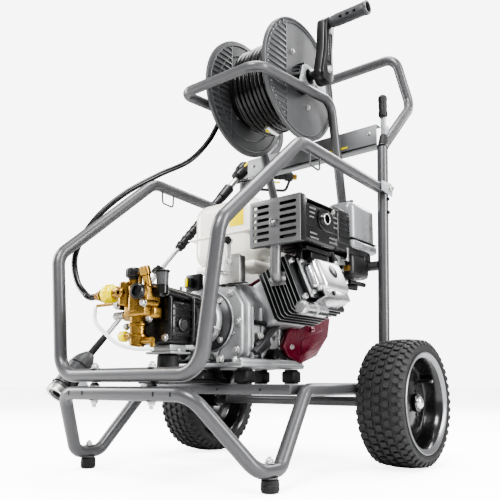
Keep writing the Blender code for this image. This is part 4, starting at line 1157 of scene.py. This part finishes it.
def build_flange(side, title):
    """Reel flange: rim, hub, smooth faces and sectors of slanted ribs."""
    at = SHAFT_AT + side * X * REEL_HALF
    lathe([(11.5, 3), (156, 3), (158, 6), (160.5, 6.6), (162.5, 5), (162.5, -2.6),
           (160, -3.2), (11.5, -3)], at, side * X, GREY, 120, True)
    for face in (1, -1):
        level = at + side * face * X * 3.4
        for number in range(RIB_COUNT):
            offset = RIB_PITCH * (number - (RIB_COUNT - 1) / 2)
            reach = math.sqrt(RIB_REACH ** 2 - offset ** 2)
            if reach < RIB_EDGE + 10:
                continue
            where = level + Vector((0, -(reach + RIB_EDGE) / 2, offset))
            box((4, reach - RIB_EDGE, 5.8), where, GREY, 1.4)
            if face == 1:
                tip = level + Vector((side * 0.6, -reach + 4, offset + RIB_PITCH / 2))
                box((3, 3.6, 4.4), tip, LIGHT, 0.6)
        # Raised border of the ribbed sector and rings round the rim
        box((4.6, 3.4, 268), level + Vector((0, -RIB_EDGE, 0)), GREY, 1)
        pipe(around(level, 150, 90, X), 1.8, GREY, 2, True)
        if face == -1:
            pipe(around(level, 120, 90, X), 2, GREY, 2, True)
    if side > 0:
        lathe([(11.2, 0), (40, 0), (38, 10), (34, 22), (11.2, 23)],
              at + X * 2.8, X, PLASTIC, 56, True)
        for where in around(at + X * 14, 37.5, 18, X):
            box((20, 3.2, 5), where, PLASTIC, 1, facing(where - at, X))
    else:
        lathe([(11.2, 0), (34, 0), (32, 12), (26, 20), (11.2, 21)],
              at - X * 2.8, -X, PLASTIC, 56, True)
    for where in around(at + side * X * 2.8, 74, 4, side * X, 0.5):
        hexagon(where, side * X, 11.5, 4, ZINC)
        hexagon(where - side * X * 5.6, -side * X, 11.5, 4, ZINC)
    assemble("reel_flange_" + title, "ribbed", "reel")


build_flange(1, "left")
build_flange(-1, "right")


# Wound hose: an inner layer, and an outer layer that starts and ends short of the flanges
def wound(turns, radius, start, end, sides, spin):
    """A helix of hose on the drum, a little uneven."""
    per_turn = 64
    points = []
    for i in range(turns * per_turn + 1):
        angle = spin * math.tau * i / per_turn
        ripple = 0.8 * math.sin(angle * 0.37) + 0.5 * math.sin(angle * 1.9)
        along = start + (end - start) * i / (turns * per_turn)
        reach = radius + ripple
        points.append(SHAFT_AT + Vector((along, reach * math.cos(angle), reach * math.sin(angle))))
    return pipe(points, 6.8, HOSE, sides)


wound(9, 110.5, -44, 79, 5, 1)
wound(10, 98.5, -58, 79, 4, -1)
lathe([(52.3, -86), (80, -86), (84, -78), (84, -64), (92, -56),
       (92, 86), (52.3, 86)], SHAFT_AT, X, PLASTIC, 64, True)
tail_at = SHAFT_AT + Vector((0, -26, -113))
rod(tail_at, tail_at + Vector((0, 52, -4)), 8.5, ZINC, 8)
box((4, 12, 28), tail_at + Vector((0, 6, 0)), YELLOW, 1)
assemble("hose_coil", "wound", "reel")

# Side plates that carry the shaft on the hoop's arms
for side, title in ((1, "left"), (-1, "right")):
    outline = [(REEL_Y - 46, REEL_Z - 29), (REEL_Y + 82, REEL_Z - 23), (REEL_Y + 78, REEL_Z + 12),
               (REEL_Y + 22, REEL_Z + 29), (REEL_Y - 18, REEL_Z + 29), (REEL_Y - 30, REEL_Z + 20)]
    low, high = sorted((side * 120.2, side * 124.2))
    prism(outline, low, high, PANEL, 0.8)
    box((16, 90, 3.4), (side * 117, REEL_Y, REEL_Z - 25), PANEL, 1)
    if side < 0:
        lathe([(11.2, 0), (18.5, 0), (18.5, 4), (15, 6), (11.2, 6)],
              SHAFT_AT - X * 119, -X, ZINC, 48, True)
    else:
        lathe([(11.2, 0), (19.5, 0), (19.5, 3), (16, 5.5), (11.2, 5.5)],
              SHAFT_AT + X * 123.5, X, BLACK, 48, True)
    for y in (-32, 32):
        hexagon((side * 124.2, REEL_Y + y, REEL_Z - 14), (side, 0, 0), 11, 4, ZINC)
    assemble("reel_plate_" + title, "folded")

# Crank: arm with a dished face and long ribs, and its hollow slotted grip
CRANK_LENGTH = 138
CRANK_X = REEL_HALF + 83
CRANK_TILT = math.radians(6.0)
lean = Quaternion(X, -CRANK_TILT)


def arc(radius, height, start, end, step, squash=1.0):
    """Points of a circular or squashed arc about a height, by its angles in degrees."""
    turns = [math.radians(degrees) for degrees in range(start, end, step)]
    return [(radius * math.cos(turn), radius * squash * math.sin(turn) + height) for turn in turns]


def arm_outline(heel, waist, top, length):
    """Outline of the crank arm in (y, z), with its deep heel below the shaft."""
    right = [(waist, length * 0.42), (top, length * 0.86), (top, length)]
    left = [(-y, z) for y, z in reversed(right)]
    return arc(heel, -12, 165, 376, 15) + right + arc(top, length, 20, 161, 20, 0.8) + left


stand = lean @ Matrix(((0, 0, 1), (1, 0, 0), (0, 1, 0))).to_quaternion()
arm_at = Vector((CRANK_X, REEL_Y, REEL_Z))
plate(arm_outline(25, 15, 18, CRANK_LENGTH), 25, arm_at - X * 13, stand, PLASTIC, 4.5)
plate(arm_outline(23.8, 13.8, 17.2, CRANK_LENGTH), 6, arm_at + X * 2, stand, PLASTIC, 1)
plate(arm_outline(25, 15, 18, CRANK_LENGTH), 3, arm_at + X * 6.2, stand, PLASTIC, 1.2)
for y in (-7.8, 0, 7.8):
    rib_at = arm_at + lean @ Vector((7.8, y, CRANK_LENGTH * 0.46))
    box((3.4, 2.6, 88), rib_at, BLACK, 0.9, lean)
for y, z in ((0, 0), (0, CRANK_LENGTH)):
    spot = arm_at + lean @ Vector((6.6, y, z))
    lathe([(0, 1.8), (11.5, 1.8), (13, 0), (0, 0)], spot, X, PLASTIC, 40)
hexagon(arm_at + X * 8, X, 15, 5, ZINC)
assemble("crank_arm", "moulded", "reel")

tip = arm_at + lean @ Vector((8.3, 0, CRANK_LENGTH))
grip = lathe([
    (8, 0), (12, 0), (15, 6), (15, 14), (16, 17), (16, 97),
    (17.5, 99), (17.5, 106), (16.5, 108), (12.5, 108), (12.5, 10), (8, 8),
], tip, X, GREY, 64, True)
windows = []
for i in range(3):
    for angle in (0.25, math.pi + 0.25, math.pi / 2 + 0.25, -math.pi / 2 + 0.25):
        spin = Quaternion(X, angle)
        where = tip + X * (36 + 20 * i) + spin @ Vector((0, 0, 15))
        windows.append(box((8, 6.5, 16), where, GREY, 1.5, spin))
grip = cut(grip, *windows)
rod(tip + X, tip + X * 20, 7.5, ZINC)
assemble("crank_grip", "slotted", "crank_handle")

# ---------------------------------------------------------------- spray gun and lance


def lance_point(along, up=0):
    """A point along the lance, and above it in its own upright plane."""
    return LANCE_START + LANCE_WAY * along + Vector((0, -LANCE_WAY.z, LANCE_WAY.y)) * up


lathe([(11.5, 0), (24, 0), (26, 3), (26.2, 50), (27, 86), (26.5, 98),
       (22, 112), (15, 124), (13, 128), (11.5, 128)], lance_point(0), LANCE_WAY, GREY, 64, True)
lathe([(20, 0), (27.5, 0), (27.5, 12), (26.8, 14), (20, 14)], lance_point(-2), LANCE_WAY,
      ZINC, 64, True)
for along in (22, 86):
    band = around(lance_point(along), 27.2, 48, LANCE_WAY)
    pipe(band, 1.6, BLACK, 2, True)
box((14, 24, 20), (LANCE_X + 26, -350, 198), BLACK, 2)
assemble("quiver", "tube")

rod(lance_point(20), lance_point(940), 5.8, STEEL, steps=40)
rod(lance_point(75), lance_point(200), 8.8, RUBBER, 7.8)
rod(lance_point(560), lance_point(825), 12, PLASTIC, 13.5, edge=2)
rod(lance_point(825), lance_point(885), 15, PLASTIC, 16.5, edge=2)
rod(lance_point(885), lance_point(940), 9, ZINC)
for i in range(9):
    lathe([(11.8, 0), (14.2, 1), (14.2, 4), (11.8, 5)], lance_point(575 + i * 26),
          LANCE_WAY, PLASTIC, 32, True)
star = lance_point(452)
rod(lance_point(440), lance_point(466), 11, PLASTIC, edge=2)
for where in around(star, 14, 5, LANCE_WAY):
    rod(where - LANCE_WAY * 9, where + LANCE_WAY * 9, 6.2, PLASTIC, edge=2)
assemble("lance", "tubes")

body_at = lance_point(940 + 40.3)
gun_turn = Quaternion(X, LANCE_TILT)
grip_start = body_at + Vector((4, 10, 0))
grip_way = Vector((110, 118, -4))
grip_dir = grip_way.normalized()
box((34, 84, 40), body_at, PLASTIC, 10, gun_turn, 5)
box((28, 50, 52), body_at + LANCE_WAY * 10, PLASTIC, 10, gun_turn, 4)
rod(grip_start, grip_start + grip_way, 12.8, PLASTIC, 12.2, edge=3, steps=40)
rod(grip_start + grip_way * 0.84, grip_start + grip_way * 1.0, 15.5, RUBBER, edge=3, steps=40)
rod(grip_start + grip_way * 0.96, grip_start + grip_way + grip_dir * 14, 9.5, BRASS)
box((36, 30, 6), body_at + Vector((0, 4, 26)), YELLOW, 2, gun_turn)
guard_route = rounded([body_at + Vector((10, 4, -20)), grip_start + grip_way * 0.3 - Z * 52,
                       grip_start + grip_way * 0.85 - Z * 50, grip_start + grip_way * 0.95 - Z * 8], [16, 16])
pipe(guard_route, 4.5, PLASTIC, 5)
for i in range(6):
    ring_at = grip_start + grip_way * (0.30 + i * 0.085)
    lathe([(11.8, 0), (13.5, 1), (13.5, 4), (11.8, 5)], ring_at, grip_dir, RUBBER, 36, True)
assemble("gun_body", "moulded")

lever_at = grip_start + grip_way * 0.55 - Z * 22
sideways = Matrix((grip_dir, grip_way.cross(Z).normalized(), Z)).transposed().to_quaternion()
box((60, 10, 4.5), lever_at - Z * 1.2, YELLOW, 2, sideways, 4)
box((14, 10, 9), lever_at - grip_dir * 24 + Z * 2, YELLOW, 2, sideways, 3)
assemble("trigger", "lever", "gun_trigger")

# Holder that hangs the gun from the right arm of the cage
box((30, 40, 3), (LANCE_X + 36, 170, 736), PANEL, 1)
prism([(-356, 168), (-300, 168), (-330, 214)], -260, -257, PANEL, 0.8)
assemble("gun", "holder", node="")
